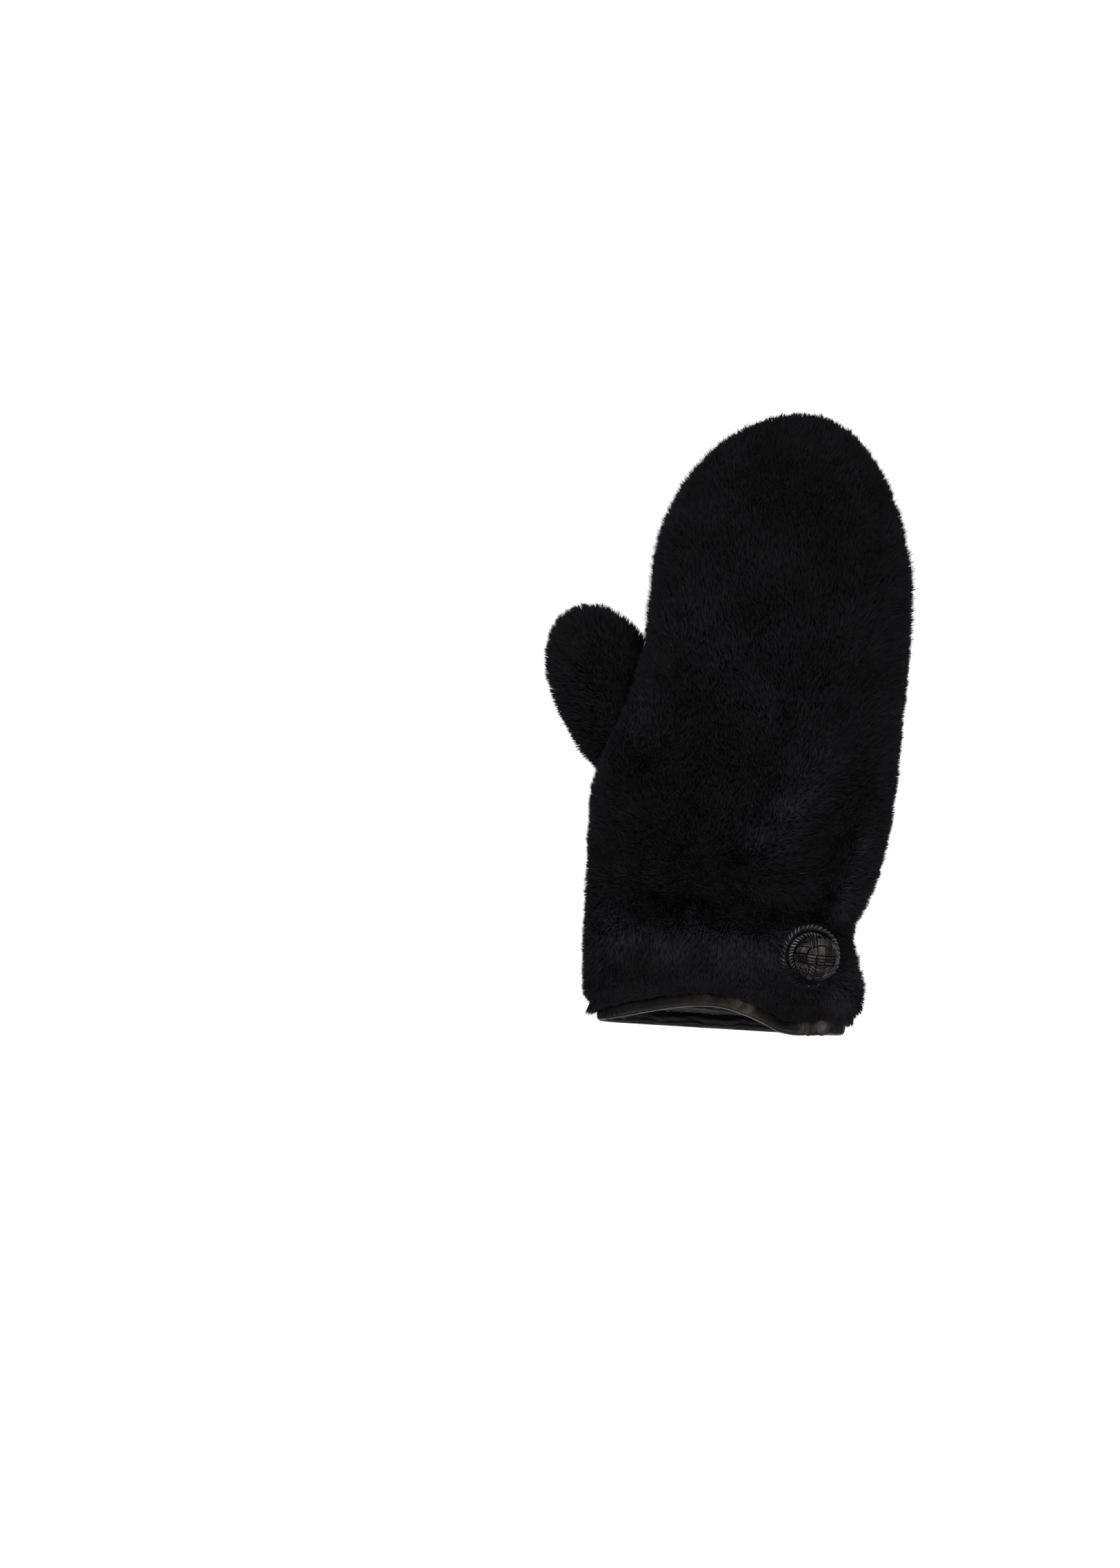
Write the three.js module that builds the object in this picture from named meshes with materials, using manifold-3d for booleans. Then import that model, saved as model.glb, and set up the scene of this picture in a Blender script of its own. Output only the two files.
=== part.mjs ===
// A right-hand fur mitten lying palm down, with a lined pocket for the hand and one for the thumb.
// The hand's axis runs along +Y from the cuff to the fingertips, the thumb points to -X, and Z is up.
// All sizes are in millimetres. The origin is under the mitten's middle, on the surface that it lies on.

import * as THREE from "three";
import { mergeGeometries, mergeVertices } from "three/addons/utils/BufferGeometryUtils.js";
import Module from "manifold-3d";

// Hand: fur to fur, from the fur's edge at the cuff to the fingertips, as it lies
const HAND_LENGTH = 278;
const HAND_WIDTH = 136;
const HAND_THICKNESS = 46;
// How far the palm's pile is pressed flat by what it lies on
const PALM_FLATTENING = 4;

// Thumb: an egg-shaped pouch that leans away from the hand, in degrees, and lies flat under its own weight
const THUMB_LENGTH = 88;
const THUMB_WIDTH = 52;
const THUMB_THICKNESS = 33;
const THUMB_LEAN = 32;
const THUMB_FLATTENING = 3;

// Walls: skin with its sheared pile, then the lining
const FUR_WALL = 9;
const LINING_WALL = 1.2;
const SEWN_GAP = 0.3;
const SEAM_GAP = 0.3;

// Leather binding that stands out round the cuff, and the lap where its two ends meet
const BINDING_WIDTH = 6;
const BINDING_THICKNESS = 3.4;
const LAP_LENGTH = 10;
const LAP_THICKNESS = 0.8;

// Cuff: the arch of the upper hem, its slant up to the little finger's side, and the fur's rounded edge
const ARCH_RISE = 8.8;
const HEM_SLANT = 6;
const HEM_ROUNDING = 3;
const HEM_ROUNDING_LENGTH = 9;
const HEM_EASE_LENGTH = 62;

// Button: a woven leather dome in a corded rim, sunk into the pile, with a lean of its own towards the turn
const BUTTON_WIDTH = 21;
const BUTTON_HEIGHT = 12;
const RIM_THICKNESS = 3;
const BUTTON_SINK = 3.2;
const BUTTON_LEAN = 10;
const BUTTON_TURN = -124;
const STRIP_COUNT = 5;
const STRIP_RELIEF = 0.7;

// The dome is widest at a share of its height, and hangs over the rim by shares of its width. Its underside
// narrows down to its foot with a power: 2 is round, and less is closer to a cone.
const DOME_WIDEST = 0.375;
const DOME_SHIFT = { x: 0.1, y: -0.038 };
const DOME_UNDERSIDE_POWER = 1.2;
const DOME_UNDERSIDE_STEPS = 4;

// Where things lie, as shares of the hand's width, from its axis, and of its length
const THUMB_PLACE = { x: -0.4412, y: 0.5036 };
const BUTTON_PLACE = { x: 0.284, y: 0.115 };
const FINGERTIP_X = 0.0956;
const CLOSING_STARTS = 0.6295;
const LAP_X = 0.4;

// The arch and the small dip beside it, as shares of the width. The dip's depth is a share of the arch's.
const ARCH = { middle: -0.037, leftReach: 0.382, rightReach: 0.25 };
const DIP = { x: 0.265, reach: 0.06, depth: 0.23 };

// Sections of the hand from the cuff to the fingertips. at is a share of the length. left, right and seam are
// shares of the width, and seam is how far in from the left edge back and palm meet on top. The heights of
// the top and of the two side edges are shares of the thickness.
const SECTIONS = [
  { at: 0.0, left: -0.44, right: 0.472, top: 0.75, leftEdge: 0.38, rightEdge: 0.4, seam: 0.16 },
  { at: 0.05, left: -0.449, right: 0.478, top: 0.81, leftEdge: 0.4, rightEdge: 0.4, seam: 0.17 },
  { at: 0.108, left: -0.462, right: 0.45, top: 0.85, leftEdge: 0.42, rightEdge: 0.38, seam: 0.19 },
  { at: 0.162, left: -0.468, right: 0.424, top: 0.84, leftEdge: 0.43, rightEdge: 0.36, seam: 0.21 },
  { at: 0.216, left: -0.474, right: 0.462, top: 0.86, leftEdge: 0.45, rightEdge: 0.38, seam: 0.23 },
  { at: 0.27, left: -0.481, right: 0.491, top: 0.92, leftEdge: 0.48, rightEdge: 0.4, seam: 0.25 },
  { at: 0.342, left: -0.484, right: 0.51, top: 0.97, leftEdge: 0.56, rightEdge: 0.42, seam: 0.27 },
  { at: 0.381, left: -0.474, right: 0.511, top: 0.98, leftEdge: 0.64, rightEdge: 0.42, seam: 0.26 },
  { at: 0.424, left: -0.447, right: 0.515, top: 1.0, leftEdge: 0.7, rightEdge: 0.42, seam: 0.22 },
  { at: 0.475, left: -0.412, right: 0.515, top: 1.0, leftEdge: 0.72, rightEdge: 0.42, seam: 0.18 },
  { at: 0.522, left: -0.387, right: 0.515, top: 1.0, leftEdge: 0.72, rightEdge: 0.42, seam: 0.15 },
  { at: 0.576, left: -0.364, right: 0.515, top: 0.99, leftEdge: 0.68, rightEdge: 0.42, seam: 0.12 },
  { at: 0.63, left: -0.359, right: 0.516, top: 0.97, leftEdge: 0.56, rightEdge: 0.41, seam: 0.1 },
  { at: 0.684, left: -0.362, right: 0.515, top: 0.94, leftEdge: 0.48, rightEdge: 0.4, seam: 0.08 },
  { at: 0.74, left: -0.38, right: 0.518, top: 0.91, leftEdge: 0.43, rightEdge: 0.39, seam: 0.07 },
  { at: 0.85, left: -0.388, right: 0.515, top: 0.85, leftEdge: 0.38, rightEdge: 0.37, seam: 0.05 },
  { at: 0.94, left: -0.37, right: 0.515, top: 0.82, leftEdge: 0.35, rightEdge: 0.35, seam: 0.04 },
  { at: 1.0, left: -0.32, right: 0.515, top: 0.8, leftEdge: 0.34, rightEdge: 0.34, seam: 0.03 },
];

// Folds of the back, each a soft ridge (rise above 0) or valley (below 0) along a line. x and y are shares of
// the hand's width and length, rise is a share of its thickness, and reach, its half width, of the width.
const FOLDS = [
  { x0: 0.285, y0: 0.2, x1: 0.31, y1: 0.3, rise: -0.13, reach: 0.05 },
  { x0: 0.31, y0: 0.3, x1: 0.375, y1: 0.385, rise: -0.07, reach: 0.055 },
  { x0: 0.265, y0: 0.42, x1: 0.09, y1: 0.26, rise: 0.075, reach: 0.085 },
  { x0: 0.43, y0: 0.3, x1: 0.36, y1: 0.19, rise: 0.05, reach: 0.05 },
  { x0: -0.38, y0: 0.12, x1: 0.17, y1: 0.125, rise: 0.075, reach: 0.1 },
  { x0: -0.4, y0: 0.225, x1: 0.24, y1: 0.19, rise: -0.055, reach: 0.075 },
  { x0: 0.4, y0: 0.045, x1: 0.44, y1: 0.1, rise: 0.06, reach: 0.07 },
  { x0: -0.29, y0: 0.88, x1: -0.26, y1: 0.85, rise: -0.05, reach: 0.04 },
  { x0: -0.2, y0: 0.62, x1: 0.05, y1: 0.5, rise: 0.03, reach: 0.16 },
  { x0: 0.25, y0: 0.78, x1: 0.05, y1: 0.86, rise: -0.025, reach: 0.12 },
];

// Roundness of outlines and sections: 2 is an ellipse, and more is boxier
const TIP_POWER = 2.05;
const TIP_HEIGHT_POWER = 2;
const TOP_POWER = 2.35;
const PALM_POWER = 2.7;
const THUMB_POWER = 2.17;
const BINDING_POWER = 2.9;
// How fast the folds fade towards the side edges, and the least that the back swells over them
const FOLD_FADING = 4;
const LEAST_SWELL = 1;
// How much lower the thumb's top is on the hand's side, as a share of its half thickness
const THUMB_TILT = 0.22;

// Fineness of the meshes
const HAND_SIDES = 32;
const OUTER_RINGS = { along: 20, closing: 8 };
const INNER_RINGS = { along: 11, closing: 5 };
const RING_CROWDING = 1.35;
const OUTER_THUMB = { sides: 24, rings: 14 };
const INNER_THUMB = { sides: 16, rings: 10 };
const BINDING_STEPS = 48;
const BINDING_SIDES = 8;
const LAP_STEPS = 4;
const ROUND_STEPS = 30;
const RIM_SIDES = 8;
const STRIP_STEPS = 4;

// Finishes
const FUR = { color: 0x0b0b0d, roughness: 0.85 };
const LINING_CLOTH = { color: 0x0e0c0e, roughness: 0.5 };
const BINDING_LEATHER = { color: 0x141213, roughness: 0.42 };
const BUTTON_LEATHER = { color: 0x121214, roughness: 0.45 };
const BUTTON_CORD = { color: 0x121214, roughness: 0.55 };

const LINING_INSET = FUR_WALL + SEWN_GAP;
const POCKET_INSET = LINING_INSET + LINING_WALL;
const MOUTH_OVERRUN = 30;
const SEAM_OVERRUN = 2;
const LAP_CUT_OVERRUN = 1.5;
const CLOSING_Y = CLOSING_STARTS * HAND_LENGTH;
const TIP_X = FINGERTIP_X * HAND_WIDTH;
const RIM_RADIUS = BUTTON_WIDTH / 2 + SEWN_GAP + RIM_THICKNESS / 2;
const TURN = Math.PI * 2;

const wasm = await Module();
wasm.setup();

const { clamp, degToRad, lerp, smoothstep } = THREE.MathUtils;

// A list of the values that a function gives for 0, 1, 2 and so on.
function series(count, value) {
  return Array.from({ length: count }, (_, i) => value(i));
}

// A bell curve: 1 in the middle, falling off over a reach.
function bell(away, reach) {
  return Math.exp(-((away / reach) ** 2));
}

// The value of a table's column at a place along it, on a smooth curve through the rows.
function columnAt(rows, column, at) {
  const last = rows.length - 1;
  const place = clamp(at, rows[0].at, rows[last].at);
  let i = 0;
  while (i < last - 1 && rows[i + 1].at < place) i += 1;
  const slope = (k) => {
    const before = rows[Math.max(k - 1, 0)];
    const after = rows[Math.min(k + 1, last)];
    return (after[column] - before[column]) / (after.at - before.at);
  };
  const span = rows[i + 1].at - rows[i].at;
  const t = (place - rows[i].at) / span;
  const ends = (1 + 2 * t) * (1 - t) ** 2 * rows[i][column] + t * t * (3 - 2 * t) * rows[i + 1][column];
  return ends + span * (t * (1 - t) ** 2 * slope(i) - t * t * (1 - t) * slope(i + 1));
}

// How far an outline of a power is still open at a share of the way to the fingertips, from 1 to 0.
function openness(share, power) {
  return (1 - clamp(share, 0, 1) ** power) ** (1 / power);
}

// The hand's section at a distance from the cuff, taken in on all sides by an inset.
function sectionAt(distance, inset) {
  const column = (name) => columnAt(SECTIONS, name, distance / HAND_LENGTH);
  const share = (distance - CLOSING_Y) / (HAND_LENGTH - inset - CLOSING_Y);
  const leftReach = column("left") * HAND_WIDTH + inset - TIP_X;
  const rightReach = column("right") * HAND_WIDTH - inset - TIP_X;
  const left = TIP_X + leftReach * openness(share, TIP_POWER);
  const right = TIP_X + rightReach * openness(share, TIP_POWER);
  const open = openness(share, TIP_HEIGHT_POWER);
  return {
    distance,
    left,
    middle: (left + right) / 2,
    half: (right - left) / 2,
    top: column("top") * HAND_THICKNESS - inset,
    bottom: inset,
    leftEdge: column("leftEdge") * HAND_THICKNESS,
    rightEdge: column("rightEdge") * HAND_THICKNESS,
    seam: left + column("seam") * HAND_WIDTH * open,
    open,
  };
}

// How far the folds lift the back at a point: the sum of the bell curves across each fold's line.
function foldRise(x, y) {
  let rise = 0;
  for (const fold of FOLDS) {
    const from = new THREE.Vector2(fold.x0 * HAND_WIDTH, fold.y0 * HAND_LENGTH);
    const run = new THREE.Vector2(fold.x1 * HAND_WIDTH, fold.y1 * HAND_LENGTH).sub(from);
    const point = new THREE.Vector2(x, y).sub(from);
    const share = clamp(point.dot(run) / run.lengthSq(), 0, 1);
    const away = point.addScaledVector(run, -share).length();
    rise += fold.rise * HAND_THICKNESS * bell(away, fold.reach * HAND_WIDTH);
  }
  return rise;
}

// Height of a section's side edges at a share across it, from -1 at the thumb's side to 1.
function edgeHeight(section, across) {
  return lerp(section.leftEdge, section.rightEdge, (across + 1) / 2);
}

// How far a section has swelled at a share across it, on a superellipse of a power.
function swell(section, across, power) {
  return section.open * (1 - Math.abs(across) ** power) ** (1 / power);
}

// Height of the back at a share across the section.
function backHeight(section, across) {
  const edge = edgeHeight(section, across);
  const x = section.middle + section.half * across;
  const lift = foldRise(x, section.distance) * (1 - across ** FOLD_FADING) * section.open;
  return edge + Math.max(section.top - edge, LEAST_SWELL) * swell(section, across, TOP_POWER) + lift;
}

// Height of the palm side at a share across the section. It is flat where it lies.
function palmHeight(section, across) {
  const edge = edgeHeight(section, across);
  const drop = Math.max(edge + PALM_FLATTENING - section.bottom, 0);
  return Math.max(edge - drop * swell(section, across, PALM_POWER), section.bottom);
}

// How far up the hand the hem lies at a point of the cuff. upper is 0 on the palm side and 1 on the back.
function hemRise(x, upper) {
  const across = x / HAND_WIDTH;
  const away = across - ARCH.middle;
  const reach = away < 0 ? ARCH.leftReach : ARCH.rightReach;
  const arch = Math.cos((Math.PI / 2) * Math.min(Math.abs(away) / reach, 1));
  const dip = DIP.depth * bell(across - DIP.x, DIP.reach);
  return HEM_SLANT * (across + 0.5) + ARCH_RISE * upper * (arch - dip);
}

// A point of the hand's surface, at a distance from the cuff and an angle round the section, which goes from
// the little finger's side over the back to the thumb's side, and under the palm.
function handPoint(distance, angle, inset) {
  const hem = 1 - smoothstep(distance, 0, HEM_ROUNDING_LENGTH);
  const rounding = HEM_ROUNDING * hem ** 2 * clamp(1 - inset / FUR_WALL, 0, 1);
  const section = { ...sectionAt(distance, inset + rounding), bottom: inset };
  const across = Math.cos(angle);
  const onBack = Math.sin(angle) > 0;
  const x = section.middle + section.half * across;
  const z = onBack ? backHeight(section, across) : palmHeight(section, across);
  const ease = (1 - clamp(distance / HEM_EASE_LENGTH, 0, 1)) ** 2;
  return [x, distance + hemRise(x, onBack ? Math.sin(angle) : 0) * ease, z];
}

// A closed geometry through rings of points. A ring of one point is a pole, and flat ends are closed by cap,
// a list of triangles of the ring's corners. A loop's last ring joins its first.
function loftGeometry(rings, { loop = false, cap = [] } = {}) {
  const points = [];
  const faces = [];
  const starts = rings.map((ring) => points.push(...ring) - ring.length);
  const spans = loop ? rings.length : rings.length - 1;
  for (let i = 0; i < spans; i += 1) {
    const next = (i + 1) % rings.length;
    const sides = Math.max(rings[i].length, rings[next].length);
    for (let j = 0; j < sides; j += 1) {
      const corner = (ring, k) => starts[ring] + (k % rings[ring].length);
      const k = (j + 1) % sides;
      const [a, b, c, d] = [corner(i, j), corner(i, k), corner(next, j), corner(next, k)];
      if (a !== b) faces.push([a, b, c]);
      if (c !== d) faces.push([b, d, c]);
    }
  }
  for (const [a, b, c] of cap) {
    const end = starts[rings.length - 1];
    faces.push([b, a, c], [end + a, end + b, end + c]);
  }
  const geometry = new THREE.BufferGeometry();
  geometry.setAttribute("position", new THREE.Float32BufferAttribute(points.flat(), 3));
  geometry.setIndex(faces.flat());
  return geometry;
}

// The rings with a pole in the middle of each open end.
function capped(rings) {
  const mean = (values) => values.reduce((sum, value) => sum + value, 0) / values.length;
  const middle = (ring) => [0, 1, 2].map((k) => mean(ring.map((point) => point[k])));
  const poleOf = (ring) => (ring.length > 1 ? [[middle(ring)]] : []);
  return [...poleOf(rings[0]), ...rings, ...poleOf(rings[rings.length - 1])];
}

// The solid of a closed geometry, with its faces turned outwards.
function solidOf(geometry) {
  geometry.deleteAttribute("normal");
  geometry.deleteAttribute("uv");
  const merged = mergeVertices(geometry);
  const vertProperties = new Float32Array(merged.attributes.position.array);
  const triVerts = new Uint32Array(merged.index.array);
  const solid = new wasm.Manifold(new wasm.Mesh({ numProp: 3, vertProperties, triVerts }));
  if (solid.volume() > 0) return solid;
  triVerts.reverse();
  return new wasm.Manifold(new wasm.Mesh({ numProp: 3, vertProperties, triVerts }));
}

// The hand's rings of points from the cuff to the fingertips, taken in by an inset.
function handRings(inset, { along, closing }) {
  const reach = HAND_LENGTH - inset - CLOSING_Y;
  const distances = [
    ...series(along + 1, (i) => CLOSING_Y * (i / along) ** RING_CROWDING),
    ...series(closing - 1, (i) => CLOSING_Y + reach * Math.sin(((i + 1) / closing) * (Math.PI / 2))),
  ];
  const rings = distances.map((distance) =>
    series(HAND_SIDES, (j) => handPoint(distance, (j / HAND_SIDES) * TURN, inset)),
  );
  const tip = sectionAt(HAND_LENGTH, inset);
  return [...rings, [[TIP_X, HAND_LENGTH - inset, edgeHeight(tip, 0)]]];
}

// The whole hand as one solid, taken in by an inset. With an overrun it runs on past the hem.
function handSolid(inset, fineness, overrun = 0) {
  const rings = handRings(inset, fineness);
  if (overrun > 0) rings.unshift(rings[0].map(([x, y, z]) => [x, y - overrun, z]));
  return solidOf(loftGeometry(capped(rings)));
}

// The hand's fur wall: its outer surface, turned in at the hem and back up inside.
function furShell() {
  const outer = handRings(0, OUTER_RINGS).reverse();
  return solidOf(loftGeometry([...outer, ...handRings(FUR_WALL, INNER_RINGS)]));
}

// The thumb's pouch as one solid, taken in by an inset.
function thumbSolid(inset, { sides, rings }) {
  const lean = degToRad(THUMB_LEAN);
  const power = 2 / THUMB_POWER;
  const halfLength = THUMB_LENGTH / 2 - inset;
  const halfWidth = THUMB_WIDTH / 2 - inset;
  const halfHeight = (THUMB_THICKNESS + THUMB_FLATTENING) / 2 - inset;
  const middle = (THUMB_THICKNESS - THUMB_FLATTENING) / 2;
  const pointAt = (rise, angle) => {
    const girth = Math.cos(rise) ** power;
    const along = halfLength * Math.sign(rise) * Math.abs(Math.sin(rise)) ** power;
    const across = halfWidth * girth * Math.cos(angle);
    const tilt = 1 - THUMB_TILT * girth * Math.cos(angle) * Math.max(Math.sin(angle), 0);
    const z = middle + halfHeight * girth * Math.sin(angle) * tilt;
    return [
      THUMB_PLACE.x * HAND_WIDTH - along * Math.sin(lean) + across * Math.cos(lean),
      THUMB_PLACE.y * HAND_LENGTH + along * Math.cos(lean) + across * Math.sin(lean),
      Math.max(z, inset),
    ];
  };
  const around = series(rings - 1, (i) => {
    const rise = ((i + 1) / rings - 0.5) * Math.PI;
    return series(sides, (j) => pointAt(rise, (j / sides) * TURN));
  });
  const poles = [-1, 1].map((side) => [pointAt((side * Math.PI) / 2, Math.PI / 2)]);
  return solidOf(loftGeometry([poles[0], ...around, poles[1]]));
}

// All the space on the back's or the palm's side of the seam between them, half the seam's gap away from it.
// The seam runs level on the little finger's side, and turns up through the top on the thumb's side.
function seamSide(isBack) {
  const far = HAND_WIDTH;
  const high = HAND_THICKNESS * 2;
  const bend = FUR_WALL;
  const gap = (isBack ? SEAM_GAP : -SEAM_GAP) / 2;
  const ringAt = (distance) => {
    const section = sectionAt(clamp(distance, 0, HAND_LENGTH), 0);
    const level = section.rightEdge + gap;
    const seam = section.seam + gap;
    const line = [[seam, high], [seam, level + bend], [seam + bend, level], [far, level]];
    const backSide = [...line, [far, high]];
    const palmSide = [...line.reverse(), [-far, high], [-far, -bend], [far, -bend]];
    return (isBack ? backSide : palmSide).map(([x, z]) => [x, distance, z]);
  };
  const steps = OUTER_RINGS.along;
  const count = steps + SEAM_OVERRUN * 2 + 1;
  const rings = series(count, (i) => ringAt((HAND_LENGTH * (i - SEAM_OVERRUN)) / steps));
  const outline = rings[0].map(([x, , z]) => new THREE.Vector2(x, z));
  return solidOf(loftGeometry(rings, { cap: THREE.ShapeUtils.triangulateShape(outline, []) }));
}

// The binding's middle line at an angle round the cuff, with the ways out of the wall and up the hand there,
// and the length of hem that a radian of the angle takes.
function bindingFrame(angle) {
  const step = TURN / BINDING_STEPS / 4;
  const hemAt = (turn) => new THREE.Vector3(...handPoint(0, turn, FUR_WALL));
  const run = hemAt(angle + step).sub(hemAt(angle - step));
  const pace = run.length() / (step * 2);
  run.normalize();
  const outward = new THREE.Vector3(0, 1, 0).cross(run).normalize();
  const upward = new THREE.Vector3().crossVectors(run, outward).normalize();
  const middle = hemAt(angle).addScaledVector(upward, -(BINDING_WIDTH / 2 + SEWN_GAP));
  middle.addScaledVector(outward, BINDING_THICKNESS / 2 - LINING_WALL);
  return { middle, outward, upward, pace };
}

// Rings of a rounded band round the cuff at some angles, grown by a margin, and by another towards the fur.
function bindingRings(angles, margin = 0, furMargin = 0) {
  const halfThickness = BINDING_THICKNESS / 2 + margin;
  const halfWidth = (BINDING_WIDTH + margin + furMargin) / 2;
  const boxy = (value) => Math.sign(value) * Math.abs(value) ** (2 / BINDING_POWER);
  return angles.map((angle) => {
    const { middle, outward, upward } = bindingFrame(angle);
    middle.addScaledVector(upward, (furMargin - margin) / 2);
    return series(BINDING_SIDES, (j) => {
      const turn = ((j + 0.5) / BINDING_SIDES) * TURN;
      const point = middle.clone().addScaledVector(outward, halfThickness * boxy(Math.cos(turn)));
      return point.addScaledVector(upward, halfWidth * boxy(Math.sin(turn))).toArray();
    });
  });
}

// The lap: a short leather wrap over the binding where its ends meet, open towards the fur.
function bindingLap() {
  const place = Math.acos(LAP_X * 2);
  const spread = (reach) => series(LAP_STEPS * 2 + 1, (i) => place + (i / LAP_STEPS - 1) * reach);
  const reach = LAP_LENGTH / 2 / bindingFrame(place).pace;
  const outer = bindingRings(spread(reach), SEWN_GAP + LAP_THICKNESS, -SEWN_GAP);
  const inner = bindingRings(spread(reach * LAP_CUT_OVERRUN), SEWN_GAP, BINDING_WIDTH / 2);
  return solidOf(loftGeometry(capped(outer))).subtract(solidOf(loftGeometry(capped(inner))));
}

// Height of the back at a point of the cuff or hand.
function heightAt(x, distance) {
  const section = sectionAt(distance, 0);
  return backHeight(section, clamp((x - section.middle) / section.half, -1, 1));
}

// The button's place: its rim rests evenly in the pile, which it follows, and leans a little more by itself.
function buttonMatrix() {
  const x = BUTTON_PLACE.x * HAND_WIDTH;
  const y = BUTTON_PLACE.y * HAND_LENGTH;
  const slopeX = (heightAt(x + RIM_RADIUS, y) - heightAt(x - RIM_RADIUS, y)) / (RIM_RADIUS * 2);
  const slopeY = (heightAt(x, y + RIM_RADIUS) - heightAt(x, y - RIM_RADIUS)) / (RIM_RADIUS * 2);
  const normal = new THREE.Vector3(-slopeX, -slopeY, 1).normalize();
  const up = new THREE.Vector3(0, 0, 1);
  const turn = degToRad(BUTTON_TURN);
  const leanAxis = new THREE.Vector3(-Math.sin(turn), Math.cos(turn), 0);
  const rotation = new THREE.Quaternion().setFromAxisAngle(leanAxis, degToRad(BUTTON_LEAN));
  rotation.multiply(new THREE.Quaternion().setFromUnitVectors(up, normal));
  const place = new THREE.Vector3(x, y, heightAt(x, y)).addScaledVector(normal, -BUTTON_SINK);
  return new THREE.Matrix4().compose(place, rotation, new THREE.Vector3(1, 1, 1));
}

// The corded rim: a ring of round section that the dome stands in.
function rimGeometry() {
  const thick = RIM_THICKNESS / 2;
  const profile = series(RIM_SIDES + 1, (j) => {
    const angle = ((j + 0.5) / RIM_SIDES) * TURN;
    return new THREE.Vector2(RIM_RADIUS + thick * Math.cos(angle), thick + thick * Math.sin(angle));
  });
  return new THREE.LatheGeometry(profile, ROUND_STEPS).rotateX(Math.PI / 2);
}

// The woven dome: a square of crossing strips drawn over half a ball, with a raised pad where two cross. It
// narrows to a foot under its widest place, so that it can hang over the rim on one side.
function domeGeometry() {
  const cells = STRIP_COUNT * STRIP_STEPS;
  const widest = BUTTON_HEIGHT * DOME_WIDEST;
  const pad = (i) => Math.sqrt(Math.abs(Math.sin((Math.PI * i) / STRIP_STEPS)));
  const pointAt = (i, j) => {
    const u = (2 * i) / cells - 1;
    const v = 1 - (2 * j) / cells;
    const reach = Math.max(Math.abs(u), Math.abs(v)) * (Math.PI / 2);
    const relief = STRIP_RELIEF * (pad(i) * pad(j) - 1);
    const spread = ((BUTTON_WIDTH / 2 + relief) * Math.sin(reach)) / (Math.hypot(u, v) || 1);
    return [u * spread, v * spread, widest + (BUTTON_HEIGHT - widest + relief) * Math.cos(reach)];
  };
  const top = new THREE.PlaneGeometry(2, 2, cells, cells);
  const places = top.attributes.position;
  for (let i = 0; i < places.count; i += 1) {
    places.setXYZ(i, ...pointAt(i % (cells + 1), Math.floor(i / (cells + 1))));
  }
  top.deleteAttribute("normal");
  top.deleteAttribute("uv");
  const edge = [
    ...series(cells, (k) => pointAt(k, 0)),
    ...series(cells, (k) => pointAt(cells, k)),
    ...series(cells, (k) => pointAt(cells - k, cells)),
    ...series(cells, (k) => pointAt(0, cells - k)),
  ];
  const rings = series(DOME_UNDERSIDE_STEPS, (k) => {
    const down = k / DOME_UNDERSIDE_STEPS;
    const narrowing = Math.sqrt(1 - down ** DOME_UNDERSIDE_POWER);
    return edge.map(([x, y]) => [x * narrowing, y * narrowing, widest * (1 - down)]);
  });
  const dome = mergeGeometries([top, loftGeometry([...rings, [[0, 0, 0]]])]);
  return dome.translate(DOME_SHIFT.x * BUTTON_WIDTH, DOME_SHIFT.y * BUTTON_WIDTH, 0);
}

// The room that the button takes out of the pile, in the button's own frame.
function seatGeometry() {
  const radius = RIM_RADIUS + RIM_THICKNESS / 2 + SEWN_GAP;
  const high = HAND_THICKNESS;
  const cylinder = new THREE.CylinderGeometry(radius, radius, high, ROUND_STEPS);
  return cylinder.rotateX(Math.PI / 2).translate(0, 0, high / 2 - SEWN_GAP);
}

// A named mesh of a solid in a finish.
function meshOf(name, solid, finish) {
  const { vertProperties, triVerts } = solid.getMesh();
  const geometry = new THREE.BufferGeometry();
  geometry.setAttribute("position", new THREE.BufferAttribute(vertProperties, 3));
  geometry.setIndex(new THREE.BufferAttribute(triVerts, 1));
  geometry.computeVertexNormals();
  const mesh = new THREE.Mesh(geometry, new THREE.MeshStandardMaterial({ ...finish, metalness: 0 }));
  mesh.name = name;
  return mesh;
}

// The hand's two fur panels. The back makes room for the button, and the palm opens into the thumb.
function furPanels() {
  const shell = furShell();
  const seat = solidOf(seatGeometry()).transform(buttonMatrix().toArray());
  const back = shell.intersect(seamSide(true)).subtract(seat);
  const palm = shell.intersect(seamSide(false)).subtract(thumbSolid(FUR_WALL, INNER_THUMB));
  return [meshOf("back_panel", back, FUR), meshOf("palm_panel", palm, FUR)];
}

// The thumb's fur pouch, open where it is sewn to the hand.
function thumbPouch() {
  const wall = thumbSolid(0, OUTER_THUMB).subtract(thumbSolid(FUR_WALL, INNER_THUMB));
  return meshOf("thumb", wall.subtract(handSolid(-SEWN_GAP, OUTER_RINGS)), FUR);
}

// The lining: a sock inside the fur, with a branch for the thumb, open at the cuff.
function liningSock() {
  const sock = handSolid(LINING_INSET, INNER_RINGS).add(thumbSolid(LINING_INSET, INNER_THUMB));
  const handRoom = handSolid(POCKET_INSET, INNER_RINGS, MOUTH_OVERRUN);
  const pocket = handRoom.add(thumbSolid(POCKET_INSET, INNER_THUMB));
  return meshOf("lining", sock.subtract(pocket), LINING_CLOTH);
}

// The leather binding round the cuff, with its lap.
function cuff() {
  const angles = series(BINDING_STEPS, (i) => (i / BINDING_STEPS) * TURN);
  const band = solidOf(loftGeometry(bindingRings(angles), { loop: true }));
  return new THREE.Group().add(
    meshOf("cuff_binding", band, BINDING_LEATHER),
    meshOf("binding_lap", bindingLap(), BINDING_LEATHER),
  );
}

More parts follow.
